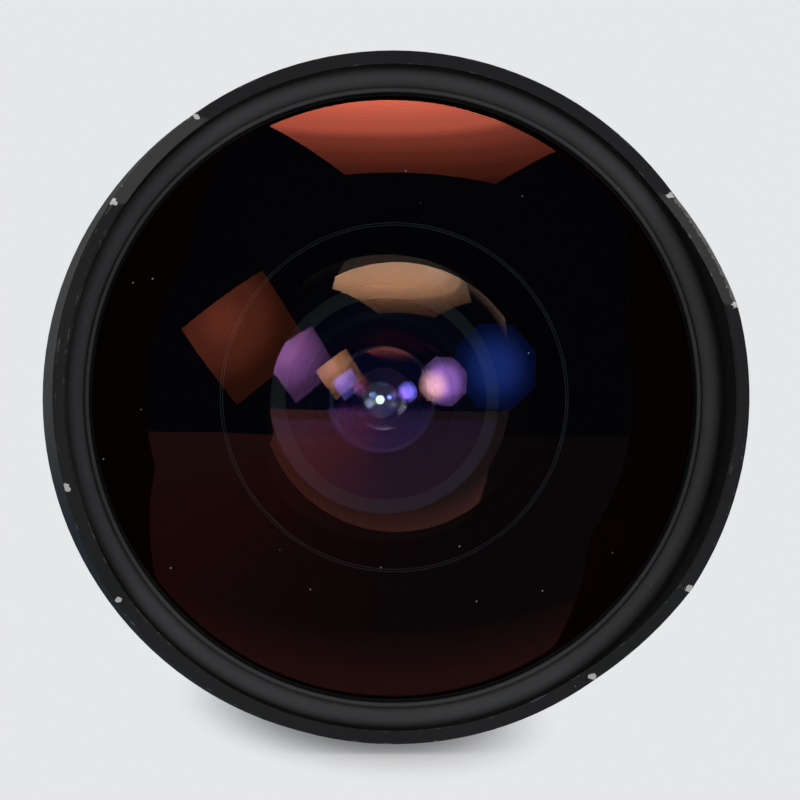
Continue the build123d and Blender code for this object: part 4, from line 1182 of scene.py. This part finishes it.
@dataclass
class Studio:
    """Camera, floor, world and panels, all placed from the lens and the camera's direction.

    The lens and the camera are in millimetres, the floor, the table and the panels in metres.
    """

    rim_centre: Point = (0.0, -84.0, 0.0)
    camera_at: Point = (-92.3, -1179.6, -32.3)
    focal_length: float = 411.4
    aim_right: float = 0.66
    aim_up: float = -0.25
    roll: float = 9.2
    dome_centre: float = 26.9
    hood_radius: float = 41.75
    hood_low: float = 72.2
    grip_radius: float = 36.9
    grip_low: float = 25.5
    backdrop: Colour = (0.791, 0.799, 0.815)
    backdrop_from: float = -0.05
    backdrop_to: float = 0.35
    room: Colour = (0.004, 0.018, 0.06)
    mirrored: float = 0.45
    seen_through: float = 2.4
    fill: Colour = (0.55, 0.55, 0.561)
    floor_half: float = 0.15
    floor_middle: Point = (0.0, 0.03, 0.0)
    floor_colour: Colour = (0.79, 0.80, 0.815)
    patch_half: Point = (0.024, 0.075, 1.0)
    patch_middle: Point = (0.0, 0.035, 0.0)
    patch_fades_from: float = 0.45
    shadow_lift: float = 0.22
    table_half: float = 0.7
    table_middle: Point = (-0.1, -0.46, 0.0005)
    table_light: Glow = Glow(1.0, (0.068, 0.19, 0.4), 1.0, (0.57, 0.57, 1.05))
    table_across: tuple[tuple[float, Colour], ...] = (
        (-0.17, (0.8, 0.52, 0.42)),
        (-0.05, (0.65, 0.33, 0.23)),
        (0.0, (0.25, 0.25, 0.25)),
        (0.04, (0.21, 0.26, 0.25)),
    )
    ramp_middle: float = 0.5
    table_near: Colour = (0.97, 0.58, 0.38)
    table_near_from: float = -0.028
    table_near_to: float = -0.015
    panels: list[Panel] = field(default_factory=list)

    def axes(self) -> tuple[Vector, Vector, Vector]:
        """Returns the picture's right, up and forward directions in the row frame."""
        forward = (Vector(self.rim_centre) - Vector(self.camera_at)).normalized()
        level = forward.cross(Vector((0.0, 0.0, 1.0))).normalized()
        angle = radians(self.roll)
        right = level * cos(angle) + level.cross(forward) * sin(angle)
        return right, right.cross(forward), forward

    def camera(self) -> None:
        """Makes the scene's camera, at the photograph's angle."""
        _, _, forward = self.axes()
        level = forward.cross(Vector((0.0, 0.0, 1.0))).normalized()
        aim = Vector(self.rim_centre) + level * self.aim_right + level.cross(forward) * self.aim_up
        data = bpy.data.cameras.new("camera")
        data.lens = self.focal_length
        data.sensor_width = 36.0
        data.clip_start = 0.01
        data.clip_end = 50.0
        made = bpy.data.objects.new("camera", data)
        bpy.context.scene.collection.objects.link(made)
        made.location = Vector(self.camera_at) * MM
        look = (aim - Vector(self.camera_at)).to_track_quat("-Z", "Y").to_matrix()
        made.rotation_euler = (look @ Matrix.Rotation(radians(self.roll), 3, "Z")).to_euler()
        bpy.context.scene.camera = made

    def world(self) -> None:
        """Makes the world: the pale backdrop behind the lens, a dim room behind the camera."""
        made = bpy.data.worlds.new("studio")
        made.use_nodes = True
        nodes = Nodes(made.node_tree)
        nodes.tree.nodes.clear()
        rays = nodes.add("LightPath").outputs
        _, ahead, _ = nodes.split(nodes.add("TexCoord").outputs["Generated"])
        mirrored = scaled(self.backdrop, self.mirrored)
        pale = nodes.mix(rays["Is Transmission Ray"], mirrored, scaled(self.backdrop, self.seen_through))
        around = nodes.mix(nodes.fade(ahead, self.backdrop_from, self.backdrop_to), self.room, pale)
        soft = nodes.mix(nodes.math("GREATER_THAN", rays["Diffuse Depth"], 0.5), around, self.fill)
        seen = nodes.mix(rays["Is Camera Ray"], soft, self.backdrop)
        nodes.add("OutputWorld", {"Surface": nodes.add("Background", {"Color": seen}).outputs[0]})
        bpy.context.scene.world = made

    def stand(self, name: str, mesh: Mesh, middle: Vector, side: Vector, normal: Vector) -> Piece:
        """Stands a flat mesh in the studio, where the camera doesn't take it for the lens.

        Args:
            name: the object's name.
            mesh: the mesh, flat in its own XY plane.
            middle: where its origin goes, in metres.
            side: where its own X points.
            normal: where its own Z points.

        Returns:
            The object, which isn't part of the lens.
        """
        made = new_object(name, mesh)
        basis = Matrix((side, normal.cross(side), normal)).transposed()
        made.matrix_world = Matrix.Translation(middle) @ basis.to_4x4()
        return made

    def panel(self, spec: Panel) -> None:
        """Makes one glowing panel.

        Args:
            spec: the panel's place, shape and light.
        """
        right, upright, forward = self.axes()
        turned = Matrix((right, upright, -forward)).transposed()
        facing = Vector(spec.facing) if spec.facing else -Vector(spec.towards)
        centre = Vector((0.0, -self.dome_centre, 0.0)) * MM + turned @ Vector(spec.towards) * spec.distance
        normal = (turned @ facing).normalized()
        mesh = bmesh.new()
        bmesh.ops.create_circle(mesh, segments=spec.sides, radius=spec.radius, cap_ends=True)
        quarter = Matrix.Rotation(pi / spec.sides + radians(spec.turn), 3, "Z")
        bmesh.ops.rotate(mesh, verts=mesh.verts[:], matrix=quarter)
        bmesh.ops.translate(mesh, verts=mesh.verts[:], vec=(*spec.shift, 0.0))
        side = (right - normal * right.dot(normal)).normalized()
        made = self.stand(spec.name, mesh, centre, side, normal)
        made.data.materials.append(spec.shade())
        made.visible_camera = False
        made.visible_shadow = False
        made.visible_diffuse = spec.glow.lights > 0.0

    def level_plane(self, name: str, half: float, middle: Point) -> Piece:
        """Makes a square that touches the hood and the grip from below.

        Args:
            name: the object's name.
            half: half its width, in metres.
            middle: its middle from where the hood touches it: right, away from the camera and up.

        Returns:
            The square, which isn't part of the lens.
        """
        _, upright, _ = self.axes()
        slope = (self.hood_radius - self.grip_radius) / (self.hood_low - self.grip_low)
        along = Vector(AXIS)
        radial = (upright - along * upright.dot(along)).normalized()
        normal = (radial - along * slope).normalized()
        contact = along * -self.hood_low - radial * self.hood_radius
        mesh = bmesh.new()
        bmesh.ops.create_grid(mesh, x_segments=1, y_segments=1, size=half)
        bmesh.ops.translate(mesh, verts=mesh.verts[:], vec=middle)
        return self.stand(name, mesh, contact * MM, along.cross(normal).normalized(), normal)

    def floor(self) -> None:
        """Makes the pale floor that the hood and the grip rest on, fading out past the shadow."""
        made = self.level_plane("floor", self.floor_half, self.floor_middle)
        made.data.materials.append(self.paper())

    def paper(self) -> Material:
        """Returns pale paper that is partly evened out and fades into the backdrop."""
        made = Surface("floor_paper")
        patch = {"Vector": made.point(), "Location": self.patch_middle, "Scale": self.patch_half}
        away = made.length(made.add("Mapping", patch, vector_type="TEXTURE").outputs[0])
        matt = made.add("BsdfDiffuse", {"Color": self.floor_colour})
        even = made.add("Emission", {"Color": self.backdrop})
        paper = made.mix_shader(self.shadow_lift, matt, even)
        gone = made.fade(away, self.patch_fades_from, 1.0)
        return made.closed(made.mix_shader(gone, paper, made.add("BsdfTransparent")))

    def table(self) -> None:
        """Makes the table that only reflections show, as far as the photograph's reaches."""
        made = self.level_plane("table", self.table_half, self.table_middle)
        made.data.materials.append(self.table_top())
        made.visible_camera = False
        made.visible_shadow = False
        made.visible_diffuse = False

    def table_top(self) -> Material:
        """Returns the table's light, whose tone changes from left to right and close to the lens."""
        made = Surface("table_glow")
        x, y, _ = made.split(made.point())
        stops = [(side + self.ramp_middle, tone) for side, tone in self.table_across]
        tones = made.ramp(made.math("ADD", x, self.ramp_middle), stops)
        near = made.fade(y, self.table_near_from, self.table_near_to, "LINEAR")
        sides = {0: 1.0, 6: self.table_light.by_ray(made), 7: made.mix(near, tones, self.table_near)}
        lit = made.add("Mix", sides, data_type="RGBA", blend_type="MULTIPLY").outputs[2]
        return made.closed(made.add("Emission", {"Color": lit}))

    def build(self) -> None:
        """Builds the camera, the world, the floor, the table and every panel."""
        self.camera()
        self.world()
        self.floor()
        self.table()
        for spec in self.panels:
            self.panel(spec)
        scene = bpy.context.scene
        scene.view_settings.view_transform = "Standard"
        scene.cycles.max_bounces = 48
        scene.cycles.transmission_bounces = 48
        scene.cycles.glossy_bounces = 16
        scene.cycles.transparent_max_bounces = 16
        scene.cycles.diffuse_bounces = 4
        LOG.info("studio: %d panels", len(self.panels))


# The whole lens


@dataclass
class WideAngleLens:
    """The lens: carried-over nodes with finishes, spun glass and scales."""

    frame: dict
    effects: Effects

    def dress_nodes(self) -> None:
        """Gives every carried-over node the finish of its material slot."""
        made: dict[str, Material] = {}
        for name, node in sorted(self.frame["nodes"].items()):
            slot = OWN_FINISH.get(name, node.data.materials[0].name.split(".")[0])
            finish = FINISHES.get(slot)
            if finish is None:
                continue
            if slot not in made:
                made[slot] = finish.shade(f"finish_{slot}", self.effects)
            for index in range(len(node.data.materials)):
                node.data.materials[index] = made[slot]
            LOG.info("%s: %s", name, slot)

    def build(self) -> None:
        """Builds and dresses the lens."""
        self.dress_nodes()
        edge_black = EDGE_BLACK.shade("edge_black", self.effects)
        for element in GLASSES:
            element.build(edge_black, self.effects)
        white = SCALE_WHITE.shade("scale_white", self.effects)
        amber = SCALE_AMBER.shade("scale_amber", self.effects)
        Scales().build(white, amber)


def main() -> None:
    """Loads the frame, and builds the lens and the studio."""
    logging.basicConfig(level=logging.INFO, format="%(name)s %(message)s")
    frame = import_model()
    WideAngleLens(frame, Effects()).build()
    Studio(panels=PANELS).build()


if __name__ == "__main__":
    main()
